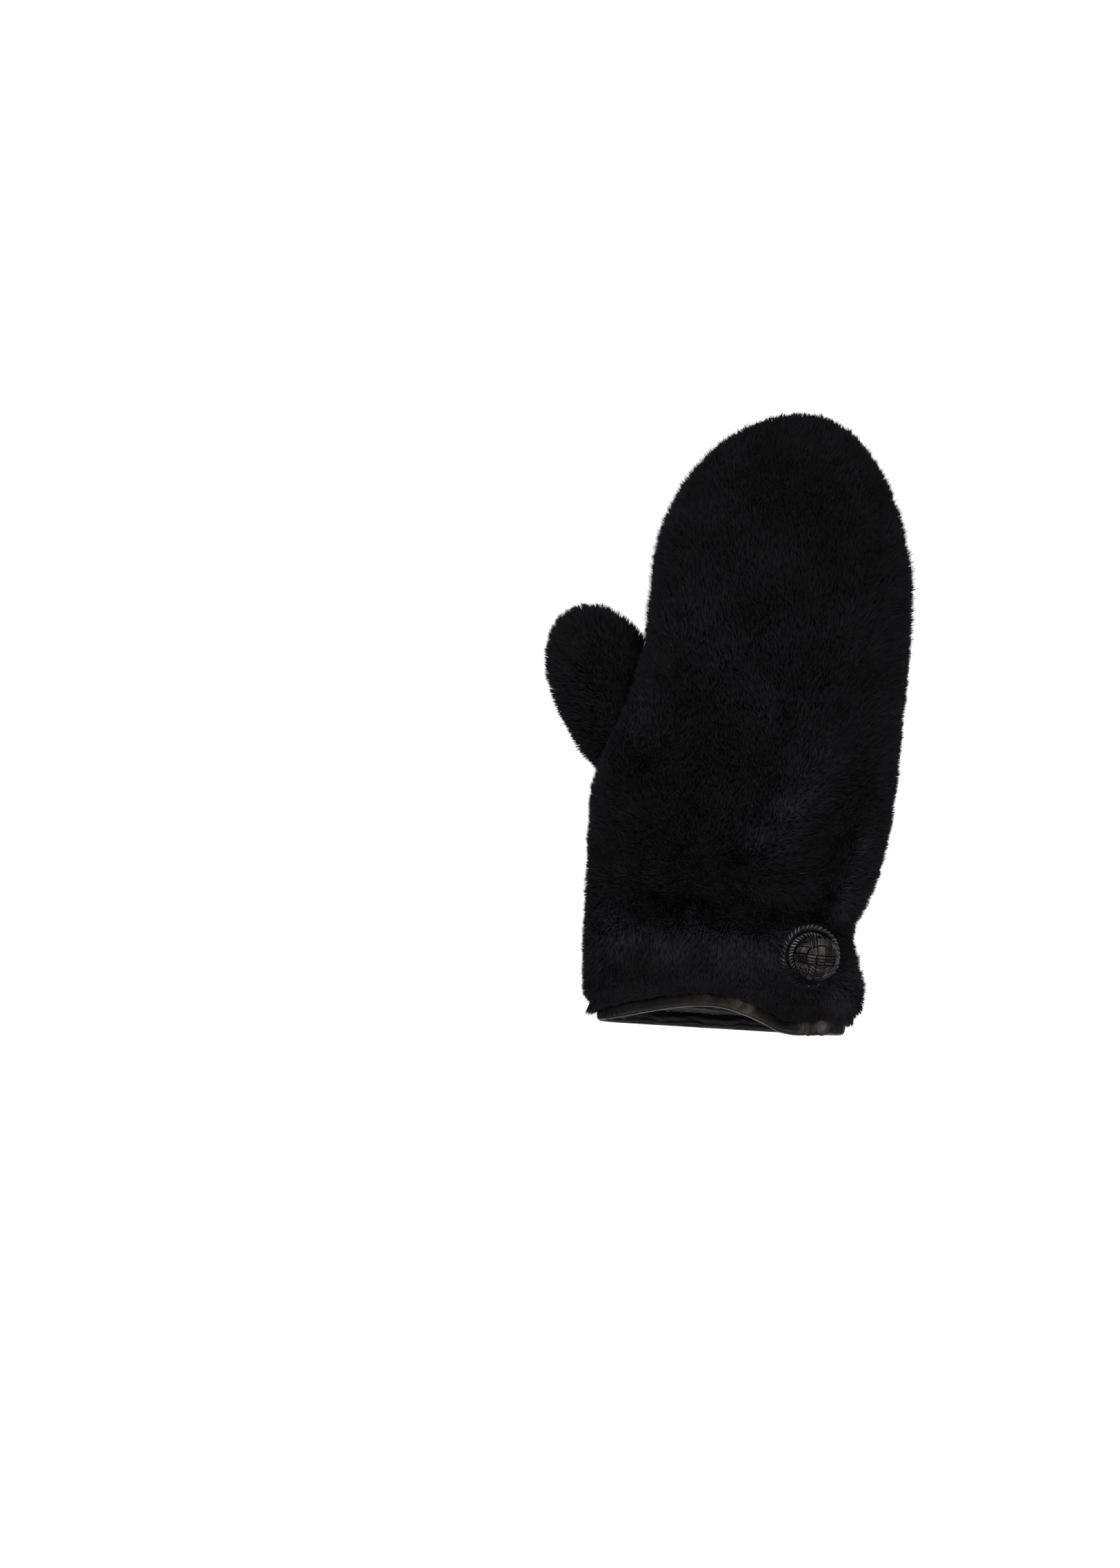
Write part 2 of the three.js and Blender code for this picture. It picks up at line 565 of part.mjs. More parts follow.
// The button: a woven dome in its corded rim, in its own leaning frame.
function button() {
  const group = new THREE.Group();
  group.applyMatrix4(buttonMatrix());
  return group.add(
    meshOf("button_dome", solidOf(domeGeometry()), BUTTON_LEATHER),
    meshOf("button_rim", solidOf(rimGeometry()), BUTTON_CORD),
  );
}

const mitten = new THREE.Group();
mitten.add(...furPanels(), thumbPouch(), liningSock(), cuff(), button());

// The origin goes under the middle of the mitten, on the surface that it lies on
const box = new THREE.Box3().setFromObject(mitten, true);
const centre = box.getCenter(new THREE.Vector3());
mitten.position.set(-centre.x, -centre.y, -box.min.z);

export default mitten;
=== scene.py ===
"""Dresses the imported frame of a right-hand fur mitten that lies on its palm.

Shapes are worked out in millimetres in the mitten's own frame: X across the hand, Y from the cuff's hem to the
fingertips, and Z up from the surface that it lies on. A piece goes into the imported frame, in metres, when its
mesh is made. Angles round the hand run from the little finger's side over the back to the thumb's side.
"""

import logging
import math
from dataclasses import dataclass, field, fields
from enum import Enum

import bmesh
import bpy
import numpy as np
from mathutils import Matrix, Quaternion, Vector

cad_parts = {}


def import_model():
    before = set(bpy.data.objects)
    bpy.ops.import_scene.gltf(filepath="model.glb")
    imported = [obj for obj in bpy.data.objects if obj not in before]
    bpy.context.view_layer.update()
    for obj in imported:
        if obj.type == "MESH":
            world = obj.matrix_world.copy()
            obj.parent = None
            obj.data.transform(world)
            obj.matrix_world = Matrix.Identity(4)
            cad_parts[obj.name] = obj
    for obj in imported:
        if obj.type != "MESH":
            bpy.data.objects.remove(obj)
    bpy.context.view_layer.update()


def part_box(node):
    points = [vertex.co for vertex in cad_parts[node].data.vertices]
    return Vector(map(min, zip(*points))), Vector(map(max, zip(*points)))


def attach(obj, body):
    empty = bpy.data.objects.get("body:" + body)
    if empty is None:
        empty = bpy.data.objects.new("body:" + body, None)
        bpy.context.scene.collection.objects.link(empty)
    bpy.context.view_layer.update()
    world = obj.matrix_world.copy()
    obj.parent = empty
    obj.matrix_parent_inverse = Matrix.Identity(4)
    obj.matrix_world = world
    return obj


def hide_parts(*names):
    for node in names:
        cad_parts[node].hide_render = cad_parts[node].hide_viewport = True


Array = np.ndarray
Numbers = float | Array

MM = 0.001
TURN = 2 * math.pi
BODY = "root"
log = logging.getLogger("mitten")


def smoothstep(value: Numbers, low: float, high: float) -> Array:
    """An S curve from 0 at low to 1 at high."""
    share = np.clip((value - low) / (high - low), 0, 1)
    return share * share * (3 - 2 * share)


def bell(away: Numbers, reach: Numbers) -> Array:
    """A bell curve: 1 in the middle, falling off over a reach."""
    return np.exp(-((away / reach) ** 2))


def unit(vectors: Array) -> Array:
    """The vectors with their lengths made 1."""
    return vectors / np.maximum(np.linalg.norm(vectors, axis=-1, keepdims=True), 1e-9)


def openness(share: Numbers, power: float) -> Array:
    """How far an outline of a power is still open at a share of the way to its tip, from 1 to 0."""
    return (1 - np.clip(share, 0, 1) ** power) ** (1 / power)


class Wander:
    """Smooth seeded noise in space: random values on a lattice, blended between its corners."""

    def __init__(self, seed: int, cell: float, channels: int = 3, corners: int = 32) -> None:
        """Args:
        seed: the lattice's seed.
        cell: distance between corners, in millimetres.
        channels: how many values the noise has at each point.
        corners: corners on each side before the lattice repeats.
        """
        self.cell = cell
        self.corners = corners
        values = np.random.default_rng(seed).uniform(-1, 1, (corners, corners, corners, channels))
        self.lattice = values.astype(np.float32)

    def __call__(self, points: Array) -> Array:
        """The noise at points, from -1 to 1: corner values weighted by an S curve along each axis.

        Args:
            points: places, in millimetres, as rows of three.
        Returns:
            A row of channels for each point.
        """
        place = points / self.cell
        low = np.floor(place).astype(int)
        share = place - low
        share = share * share * (3 - 2 * share)
        total = 0.0
        for corner in np.ndindex(2, 2, 2):
            index = (low + corner) % self.corners
            weight = np.prod(np.where(corner, share, 1 - share), axis=-1, keepdims=True)
            total = total + weight * self.lattice[index[..., 0], index[..., 1], index[..., 2]]
        return total


SECTION_COLUMNS = ("at", "left", "right", "top", "left_edge", "right_edge", "seam")
# Sections of the hand from the cuff to the fingertips. at is a share of the length. left, right and seam are
# shares of the width, and the heights of the top and of the two side edges are shares of the thickness.
SECTIONS = (
    (0.0, -0.44, 0.472, 0.75, 0.38, 0.4, 0.16),
    (0.05, -0.449, 0.478, 0.81, 0.4, 0.4, 0.17),
    (0.108, -0.462, 0.45, 0.85, 0.42, 0.38, 0.19),
    (0.162, -0.468, 0.424, 0.84, 0.43, 0.36, 0.21),
    (0.216, -0.474, 0.462, 0.86, 0.45, 0.38, 0.23),
    (0.27, -0.481, 0.491, 0.92, 0.48, 0.4, 0.25),
    (0.342, -0.484, 0.51, 0.97, 0.56, 0.42, 0.27),
    (0.381, -0.474, 0.511, 0.98, 0.64, 0.42, 0.26),
    (0.424, -0.447, 0.515, 1.0, 0.7, 0.42, 0.22),
    (0.475, -0.412, 0.515, 1.0, 0.72, 0.42, 0.18),
    (0.522, -0.387, 0.515, 1.0, 0.72, 0.42, 0.15),
    (0.576, -0.364, 0.515, 0.99, 0.68, 0.42, 0.12),
    (0.63, -0.359, 0.516, 0.97, 0.56, 0.41, 0.1),
    (0.684, -0.362, 0.515, 0.94, 0.48, 0.4, 0.08),
    (0.74, -0.38, 0.518, 0.91, 0.43, 0.39, 0.07),
    (0.85, -0.388, 0.515, 0.85, 0.38, 0.37, 0.05),
    (0.94, -0.37, 0.515, 0.82, 0.35, 0.35, 0.04),
    (1.0, -0.32, 0.515, 0.8, 0.34, 0.34, 0.03),
)


@dataclass(frozen=True)
class Fold:
    """A soft ridge (rise above 0) or valley (below 0) of the back along a line from one end to the other.

    x and y are shares of the hand's width and length, rise of its thickness, and reach of the width.
    """

    x0: float
    y0: float
    x1: float
    y1: float
    rise: float
    reach: float


FOLDS = (
    Fold(0.285, 0.2, 0.31, 0.3, -0.13, 0.05),
    Fold(0.31, 0.3, 0.375, 0.385, -0.07, 0.055),
    Fold(0.265, 0.42, 0.09, 0.26, 0.075, 0.085),
    Fold(0.43, 0.3, 0.36, 0.19, 0.05, 0.05),
    Fold(-0.38, 0.12, 0.17, 0.125, 0.075, 0.1),
    Fold(-0.4, 0.225, 0.24, 0.19, -0.055, 0.075),
    Fold(0.4, 0.045, 0.44, 0.1, 0.06, 0.07),
    Fold(-0.29, 0.88, -0.26, 0.85, -0.05, 0.04),
    Fold(-0.2, 0.62, 0.05, 0.5, 0.03, 0.16),
    Fold(0.25, 0.78, 0.05, 0.86, -0.025, 0.12),
)


@dataclass
class Section:
    """The hand's sections at some distances from the cuff, as arrays."""

    distance: Array
    left: Array
    right: Array
    top: Array
    bottom: Array
    left_edge: Array
    right_edge: Array
    seam: Array
    open: Array

    @property
    def middle(self) -> Array:
        """Halfway between the two sides."""
        return (self.left + self.right) / 2

    @property
    def half(self) -> Array:
        """Half the width."""
        return (self.right - self.left) / 2

    def edge_height(self, across: Array) -> Array:
        """Height of the side edges at a share across, from -1 at the thumb's side to 1."""
        return self.left_edge + (self.right_edge - self.left_edge) * (across + 1) / 2

    def swell(self, across: Array, power: float) -> Array:
        """How far the section has swelled at a share across it, on a superellipse of a power."""
        return self.open * openness(np.abs(across), power)


@dataclass(frozen=True)
class HandForm:
    """The hand's form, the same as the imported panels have: sections that close in an ellipse at the fingertips."""

    length: float = 278.0
    width: float = 136.0
    thickness: float = 46.0
    palm_flattening: float = 4.0
    wall: float = 9.0
    hem_rounding: float = 3.0
    hem_rounding_length: float = 9.0
    hem_ease_length: float = 62.0
    hem_slant: float = 6.0
    arch_rise: float = 8.8
    arch_middle: float = -0.037
    arch_left: float = 0.382
    arch_right: float = 0.25
    dip_x: float = 0.265
    dip_reach: float = 0.06
    dip_depth: float = 0.23
    closing_starts: float = 0.6295
    fingertip_x: float = 0.0956
    tip_power: float = 2.05
    tip_height_power: float = 2.0
    top_power: float = 2.35
    palm_power: float = 2.7
    fold_fading: float = 4.0
    least_swell: float = 1.0

    @property
    def closing_y(self) -> float:
        """Where the sections start to close towards the fingertips."""
        return self.closing_starts * self.length

    def column(self, name: str, distance: Array) -> Array:
        """A column of the table at some distances: a cubic through the rows with their neighbours' slopes."""
        rows = np.array(SECTIONS)
        at = rows[:, 0]
        values = rows[:, SECTION_COLUMNS.index(name)]
        place = np.clip(distance / self.length, at[0], at[-1])
        i = np.clip(np.searchsorted(at, place, side="left") - 1, 0, len(at) - 2)
        before = np.maximum(np.arange(len(at)) - 1, 0)
        after = np.minimum(np.arange(len(at)) + 1, len(at) - 1)
        slopes = (values[after] - values[before]) / (at[after] - at[before])
        span = at[i + 1] - at[i]
        t = (place - at[i]) / span
        ends = (1 + 2 * t) * (1 - t) ** 2 * values[i] + t * t * (3 - 2 * t) * values[i + 1]
        return ends + span * (t * (1 - t) ** 2 * slopes[i] - t * t * (1 - t) * slopes[i + 1])

    def section(self, distance: Array, inset: Numbers) -> Section:
        """The sections at some distances, taken in on all sides by an inset."""
        tip_x = self.fingertip_x * self.width
        share = (distance - self.closing_y) / (self.length - inset - self.closing_y)
        closing = openness(share, self.tip_power)
        left = tip_x + (self.column("left", distance) * self.width + inset - tip_x) * closing
        right = tip_x + (self.column("right", distance) * self.width - inset - tip_x) * closing
        opened = openness(share, self.tip_height_power)
        return Section(
            distance=distance,
            left=left,
            right=right,
            top=self.column("top", distance) * self.thickness - inset,
            bottom=inset + 0 * distance,
            left_edge=self.column("left_edge", distance) * self.thickness,
            right_edge=self.column("right_edge", distance) * self.thickness,
            seam=left + self.column("seam", distance) * self.width * opened,
            open=opened,
        )

    def fold_rise(self, x: Array, y: Array) -> Array:
        """How far the folds lift the back: the sum of the bell curves across each fold's line."""
        rise = 0 * x
        for fold in FOLDS:
            start = np.array([fold.x0 * self.width, fold.y0 * self.length])
            run = np.array([fold.x1 * self.width, fold.y1 * self.length]) - start
            share = np.clip(((x - start[0]) * run[0] + (y - start[1]) * run[1]) / (run @ run), 0, 1)
            away = np.hypot(x - start[0] - run[0] * share, y - start[1] - run[1] * share)
            rise = rise + fold.rise * self.thickness * bell(away, fold.reach * self.width)
        return rise

    def back_height(self, section: Section, across: Array) -> Array:
        """Height of the back at a share across the sections."""
        edge = section.edge_height(across)
        x = section.middle + section.half * across
        lift = self.fold_rise(x, section.distance) * (1 - across**self.fold_fading) * section.open
        swelling = np.maximum(section.top - edge, self.least_swell) * section.swell(across, self.top_power)
        return edge + swelling + lift

    def palm_height(self, section: Section, across: Array) -> Array:
        """Height of the palm side at a share across the sections. It is flat where it lies."""
        edge = section.edge_height(across)
        drop = np.maximum(edge + self.palm_flattening - section.bottom, 0)
        return np.maximum(edge - drop * section.swell(across, self.palm_power), section.bottom)

    def hem_rise(self, x: Array, upper: Array) -> Array:
        """How far up the hand the hem lies: a slant, and on the back an arch with a dip beside it."""
        across = x / self.width
        away = across - self.arch_middle
        reach = np.where(away < 0, self.arch_left, self.arch_right)
        arch = np.cos(math.pi / 2 * np.minimum(np.abs(away) / reach, 1))
        dip = self.dip_depth * bell(across - self.dip_x, self.dip_reach)
        return self.hem_slant * (across + 0.5) + self.arch_rise * upper * (arch - dip)

    def points(self, distance: Numbers, angle: Numbers, inset: Numbers) -> Array:
        """Points of the hand's surface.

        Args:
            distance: from the cuff, in millimetres.
            angle: round the section, in radians.
            inset: how far inside the fur's outer surface.
        Returns:
            An array of points, of the shape that the arguments have together, by three.
        """
        distance, angle, inset = np.broadcast_arrays(*(np.asarray(v, float) for v in (distance, angle, inset)))
        hem = 1 - smoothstep(distance, 0, self.hem_rounding_length)
        rounding = self.hem_rounding * hem**2 * np.clip(1 - inset / self.wall, 0, 1)
        section = self.section(distance, inset + rounding)
        section.bottom = inset
        across = np.cos(angle)
        on_back = np.sin(angle) > 1e-9
        x = section.middle + section.half * across
        z = np.where(on_back, self.back_height(section, across), self.palm_height(section, across))
        ease = (1 - np.clip(distance / self.hem_ease_length, 0, 1)) ** 2
        upper = np.where(on_back, np.sin(angle), 0)
        return np.stack([x, distance + self.hem_rise(x, upper) * ease, z], axis=-1)

    def distances(self, inset: float, along: int, closing: int, crowding: float = 1.35) -> Array:
        """Distances of rings from the cuff to the fingertips, crowded at the cuff and towards the tip."""
        reach = self.length - inset - self.closing_y
        straight = self.closing_y * (np.arange(along + 1) / along) ** crowding
        curved = self.closing_y + reach * np.sin((np.arange(1, closing + 1) / closing) * (math.pi / 2))
        return np.concatenate([straight, curved])

    def seam_angle(self, distance: Array, inset: float) -> Array:
        """The angle at which back and palm meet on top, on the thumb's side."""
        section = self.section(distance, inset)
        across = (section.seam - section.middle) / np.maximum(section.half, 1e-6)
        return np.arccos(np.clip(across, -1, 1))

    def holds(self, points: Array, margin: float = 0.0) -> Array:
        """Which points lie inside the hand, by more than a margin."""
        section = self.section(np.clip(points[..., 1], 0, self.length - 0.01), 0.0)
        across = (points[..., 0] - section.middle) / np.maximum(section.half, 1e-6)
        inside = np.clip(across, -1, 1)
        under = points[..., 2] < self.back_height(section, inside) - margin
        over = points[..., 2] > self.palm_height(section, inside) + margin
        wide = np.abs(across) * section.half < section.half - margin
        return under & over & wide & (points[..., 1] > 0) & (points[..., 1] < self.length - margin)

    def height_at(self, x: float, distance: float) -> float:
        """Height of the back at a point."""
        section = self.section(np.asarray(float(distance)), 0.0)
        across = np.clip((x - section.middle) / section.half, -1, 1)
        return float(self.back_height(section, across))


@dataclass(frozen=True)
class ThumbForm:
    """The thumb's form: an egg that leans away from the hand and lies flat under its own weight."""

    length: float = 88.0
    width: float = 52.0
    thickness: float = 33.0
    lean: float = 32.0
    flattening: float = 3.0
    place_x: float = -0.4412
    place_y: float = 0.5036
    power: float = 2.17
    tilt: float = 0.22

    def sizes(self, inset: Numbers) -> tuple[Numbers, Numbers, Numbers, float]:
        """Half the length, width and height at an inset, and the middle's height."""
        half_height = (self.thickness + self.flattening) / 2 - inset
        middle = (self.thickness - self.flattening) / 2
        return self.length / 2 - inset, self.width / 2 - inset, half_height, middle

    def points(self, hand: HandForm, rise: Numbers, angle: Numbers, inset: Numbers) -> Array:
        """Points of the thumb's surface, a superellipsoid with a tilted top that is cut flat underneath.

        Args:
            hand: the hand that it is sewn to.
            rise: from -a quarter turn at the thumb's root to a quarter turn at its tip.
            angle: round the thumb.
            inset: how far inside the fur's outer surface.
        Returns:
            An array of points.
        """
        rise, angle, inset = np.broadcast_arrays(*(np.asarray(v, float) for v in (rise, angle, inset)))
        half_length, half_width, half_height, middle = self.sizes(inset)
        power = 2 / self.power
        girth = np.maximum(np.cos(rise), 0) ** power
        along = half_length * np.sign(rise) * np.abs(np.sin(rise)) ** power
        across = half_width * girth * np.cos(angle)
        tilt = 1 - self.tilt * girth * np.cos(angle) * np.maximum(np.sin(angle), 0)
        z = middle + half_height * girth * np.sin(angle) * tilt
        lean = math.radians(self.lean)
        x = self.place_x * hand.width - along * math.sin(lean) + across * math.cos(lean)
        y = self.place_y * hand.length + along * math.cos(lean) + across * math.sin(lean)
        return np.stack([x, y, np.maximum(z, inset)], axis=-1)

    def holds(self, hand: HandForm, points: Array, inset: float = 0.0) -> Array:
        """Which points lie inside the thumb, taken in by an inset."""
        half_length, half_width, half_height, middle = self.sizes(inset)
        lean = math.radians(self.lean)
        dx = points[..., 0] - self.place_x * hand.width
        dy = points[..., 1] - self.place_y * hand.length
        along = (dy * math.cos(lean) - dx * math.sin(lean)) / half_length
        across = (dx * math.cos(lean) + dy * math.sin(lean)) / half_width
        girth = np.hypot(across, (points[..., 2] - middle) / half_height)
        return np.abs(along) ** self.power + girth**self.power < 1


@dataclass(frozen=True)
class CuffForm:
    """The binding's form: a rounded band that stands out round the inner edge of the hem."""

    binding_width: float = 6.0
    binding_thickness: float = 3.4
    lining_wall: float = 1.2
    sewn_gap: float = 0.3
    power: float = 2.9
    lap_x: float = 0.4
    lap_length: float = 10.0
    lap_thickness: float = 0.8

    def frame(self, hand: HandForm, angle: Array) -> tuple[Array, Array, Array, Array]:
        """The band's middle line, the ways out of the wall and up the hand, and the hem's length for a radian."""
        step = 0.03

        def hem_at(turn: Array) -> Array:
            return hand.points(0.0, turn, hand.wall)

        run = hem_at(angle + step) - hem_at(angle - step)
        pace = np.linalg.norm(run, axis=-1) / (step * 2)
        run = unit(run)
        outward = unit(np.cross(np.array([0.0, 1.0, 0.0]), run))
        upward = unit(np.cross(run, outward))
        middle = hem_at(angle) - upward * (self.binding_width / 2 + self.sewn_gap)
        middle = middle + outward * (self.binding_thickness / 2 - self.lining_wall)
        return middle, outward, upward, pace


@dataclass(frozen=True)
class ButtonForm:
    """The button's place and sizes: a woven dome in a corded rim, seated in the pile."""

    width: float = 21.0
    height: float = 12.0
    rim_thickness: float = 3.0
    gap: float = 0.3
    sink: float = 3.2
    lean: float = 10.0
    turn: float = -124.0
    place_x: float = 0.284
    place_y: float = 0.115
    strips: int = 5
    relief: float = 0.7
    widest: float = 0.375
    shift_x: float = 0.1
    shift_y: float = -0.038
    underside_power: float = 1.2

    @property
    def rim_radius(self) -> float:
        """Radius of the rim's middle line."""
        return self.width / 2 + self.gap + self.rim_thickness / 2

    @property
    def widest_height(self) -> float:
        """Height at which the dome is widest."""
        return self.height * self.widest

    @property
    def dome_shift(self) -> Array:
        """How far the dome hangs over the rim, in the button's own frame."""
        return np.array([self.shift_x * self.width, self.shift_y * self.width, 0.0])

    def matrix(self, hand: HandForm) -> Matrix:
        """The button's own frame: on the pile's slope under the rim, with a lean of its own."""
        x = self.place_x * hand.width
        y = self.place_y * hand.length
        reach = self.rim_radius
        slope_x = (hand.height_at(x + reach, y) - hand.height_at(x - reach, y)) / (reach * 2)
        slope_y = (hand.height_at(x, y + reach) - hand.height_at(x, y - reach)) / (reach * 2)
        normal = Vector((-slope_x, -slope_y, 1)).normalized()
        turn = math.radians(self.turn)
        lean = Quaternion((-math.sin(turn), math.cos(turn), 0), math.radians(self.lean))
        rotation = lean @ Vector((0, 0, 1)).rotation_difference(normal)
        place = Vector((x, y, hand.height_at(x, y))) - normal * self.sink
        return Matrix.Translation(place) @ rotation.to_matrix().to_4x4()


@dataclass(frozen=True)
class Mitten:
    """The forms together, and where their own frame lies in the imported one."""

    hand: HandForm = HandForm()
    thumb: ThumbForm = ThumbForm()
    cuff: CuffForm = CuffForm()
    button: ButtonForm = ButtonForm()

    def offset(self) -> Array:
        """The way from the mitten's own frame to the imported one, in millimetres, from the panels' boxes."""
        _, back_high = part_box("back_panel")
        palm_low, palm_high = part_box("palm_panel")
        distance = np.linspace(0, self.hand.length, 400)
        widest = float(self.hand.section(distance, 0.0).right.max())
        return np.array([back_high.x / MM - widest, palm_high.y / MM - self.hand.length, palm_low.z / MM])


class Surface:
    """Vertices and faces that grow by patches, and become one mesh object."""

    def __init__(self) -> None:
        """Starts empty."""
        self.points: list[Array] = []
        self.quads: list[Array] = []
        self.values: list[Array] = []
        self.count = 0

    def add_points(self, points: Array, value: Numbers = 0.0) -> Array:
        """Adds points, each with a value for the piece's pattern.

        Args:
            points: an array of any shape by three.
            value: one number for all, or one for each point.
        Returns:
            The points' indices, in the points' own shape.
        """
        shape = points.shape[:-1]
        size = int(np.prod(shape))
        index = np.arange(self.count, self.count + size).reshape(shape)
        self.points.append(points.reshape(-1, 3))
        self.values.append(np.broadcast_to(value, shape).reshape(-1).astype(float))
        self.count += size
        return index

    def add_grid(self, index: Array, flip: bool = False) -> None:
        """Adds a quad for each cell of a grid of indices. flip turns the faces over."""
        quads = np.stack([index[:-1, :-1], index[:-1, 1:], index[1:, 1:], index[1:, :-1]], axis=-1).reshape(-1, 4)
        self.quads.append(quads[:, ::-1] if flip else quads)

    def to_object(self, name: str, offset: Array, merge: float = 0.0, smooth: bool = True) -> bpy.types.Object:
        """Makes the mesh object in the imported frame.

        Args:
            name: the piece's name.
            offset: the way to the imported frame, in millimetres.
            merge: vertices nearer than this, in millimetres, become one.
            smooth: whether it is shaded smooth.
        Returns:
            The new object, linked to the scene.
        """
        mesh = bpy.data.meshes.new(name)
        faces = [face for block in self.quads for face in block.tolist()]
        mesh.from_pydata(((np.concatenate(self.points) + offset) * MM).tolist(), [], faces)
        pattern = mesh.attributes.new("pattern", "FLOAT", "POINT")
        pattern.data.foreach_set("value", np.concatenate(self.values).astype(np.float32))
        mesh.validate()
        piece = bpy.data.objects.new(name, mesh)
        bpy.context.scene.collection.objects.link(piece)
        if merge > 0:
            shape = bmesh.new()
            shape.from_mesh(mesh)
            bmesh.ops.remove_doubles(shape, verts=shape.verts, dist=merge * MM)
            bmesh.ops.dissolve_degenerate(shape, edges=shape.edges, dist=merge * MM / 10)
            bmesh.ops.recalc_face_normals(shape, faces=shape.faces)
            shape.to_mesh(mesh)
            shape.free()
        mesh.shade_smooth() if smooth else mesh.shade_flat()
        return piece


def thick_sheet(surface: Surface, outer: Array, inner: Array, value: Numbers = 0.0) -> None:
    """Adds a closed wall between two grids of the same shape: both faces and the strips round their edges.

    Args:
        surface: what it is added to.
        outer: a grid of points, rows by columns by three.
        inner: the same grid on the wall's other side.
        value: the outer side's value for the piece's pattern.
    """
    outside = surface.add_points(outer, value)
    inside = surface.add_points(inner)
    surface.add_grid(outside)
    surface.add_grid(inside, flip=True)
    for line in (np.s_[0, :], np.s_[:, -1]):
        surface.add_grid(np.stack([outside[line], inside[line]]), flip=True)
    for line in (np.s_[-1, :], np.s_[:, 0]):
        surface.add_grid(np.stack([outside[line], inside[line]]))


def cut_away(piece: bpy.types.Object, tool: bpy.types.Object) -> None:
    """Cuts a closed tool out of a closed piece, and removes the tool.

    A cut that changes nothing means that one of the two isn't closed, so it stops the script.

    Args:
        piece: what is cut.
        tool: the room that is cut out of it.
    """
    uncut = len(piece.data.polygons)
    cut = piece.modifiers.new("cut", "BOOLEAN")
    cut.operation = "DIFFERENCE"
    cut.solver = "MANIFOLD"
    cut.object = tool
    bpy.context.view_layer.update()
    bpy.context.view_layer.objects.active = piece
    bpy.ops.object.modifier_apply(modifier=cut.name)
    if len(piece.data.polygons) == uncut:
        raise ValueError(f"{tool.name} cut nothing out of {piece.name}")
    bpy.data.objects.remove(tool)


def hand_solid(name: str, mitten: Mitten, offset: Array, inset: float) -> bpy.types.Object:
    """The whole hand as one closed body at an inset, used to cut other pieces."""
    distance = mitten.hand.distances(inset, 30, 12)
    angle = np.linspace(0, TURN, 65)
    rings = mitten.hand.points(distance[:, None], angle[None, :], inset)
    cap = np.broadcast_to(rings[0].mean(axis=0), rings[:1].shape)
    surface = Surface()
    surface.add_grid(surface.add_points(np.concatenate([cap, rings])))
    return surface.to_object(name, offset, merge=0.001)


def thumb_solid(name: str, mitten: Mitten, offset: Array, inset: float) -> bpy.types.Object:
    """The whole thumb as one closed body at an inset."""
    rise = np.linspace(-math.pi / 2, math.pi / 2, 41)
    angle = np.linspace(0, TURN, 57)
    surface = Surface()
    surface.add_grid(surface.add_points(mitten.thumb.points(mitten.hand, rise[:, None], angle[None, :], inset)))
    return surface.to_object(name, offset, merge=0.001)


class Sockets(Enum):
    """The kinds of socket that an effect's node group has."""

    NUMBER = "NodeSocketFloat"
    COLOR = "NodeSocketColor"


class NodeSketch:
    """Lays nodes in a tree and joins them, in a few words."""

    def __init__(self, tree: bpy.types.NodeTree) -> None:
        """Args:
        tree: the material's or the group's tree.
        """
        self.tree = tree

    def node(self, kind: str, **settings: object) -> bpy.types.Node:
        """Adds a node of a kind, and sets its properties."""
        made = self.tree.nodes.new(kind)
        for name, value in settings.items():
            setattr(made, name, value)
        return made

    def feed(self, source: object, target: bpy.types.NodeSocket) -> None:
        """Joins a socket to another, or sets a plain value on it."""
        if isinstance(source, bpy.types.NodeSocket):
            self.tree.links.new(source, target)
        else:
            target.default_value = source

    def noise(self, where: object, size: float, detail: float = 3.0, roughness: float = 0.55) -> bpy.types.NodeSocket:
        """Soft noise whose lumps have about a size, in millimetres."""
        made = self.node("ShaderNodeTexNoise")
        self.feed(where, made.inputs["Vector"])
        made.inputs["Scale"].default_value = 1 / (size * MM)
        made.inputs["Detail"].default_value = detail
        made.inputs["Roughness"].default_value = roughness
        return made.outputs["Fac"]

    def cells(self, where: object, size: float, feature: str = "DISTANCE_TO_EDGE") -> bpy.types.NodeSocket:
        """Cells of about a size, in millimetres."""
        made = self.node("ShaderNodeTexVoronoi", feature=feature)
        self.feed(where, made.inputs["Vector"])
        made.inputs["Scale"].default_value = 1 / (size * MM)
        return made.outputs["Distance"]

    def span(self, value: object, low: float, high: float, to_low: float = 0.0, to_high: float = 1.0) -> object:
        """The value moved from one range to another, and kept inside it."""
        made = self.node("ShaderNodeMapRange")
        for name, source in (("Value", value), ("From Min", low), ("From Max", high)):
            self.feed(source, made.inputs[name])
        self.feed(to_low, made.inputs["To Min"])
        self.feed(to_high, made.inputs["To Max"])
        return made.outputs["Result"]

    def sum(self, first: object, second: object, operation: str = "ADD") -> bpy.types.NodeSocket:
        """Two numbers put together by an operation."""
        made = self.node("ShaderNodeMath", operation=operation)
        self.feed(first, made.inputs[0])
        self.feed(second, made.inputs[1])
        return made.outputs[0]

    def mix(self, share: object, first: object, second: object) -> bpy.types.NodeSocket:
        """Two colours mixed by a share."""
        made = self.node("ShaderNodeMix", data_type="RGBA")
        self.feed(share, made.inputs[0])
        self.feed(first, made.inputs[6])
        self.feed(second, made.inputs[7])
        return made.outputs[2]


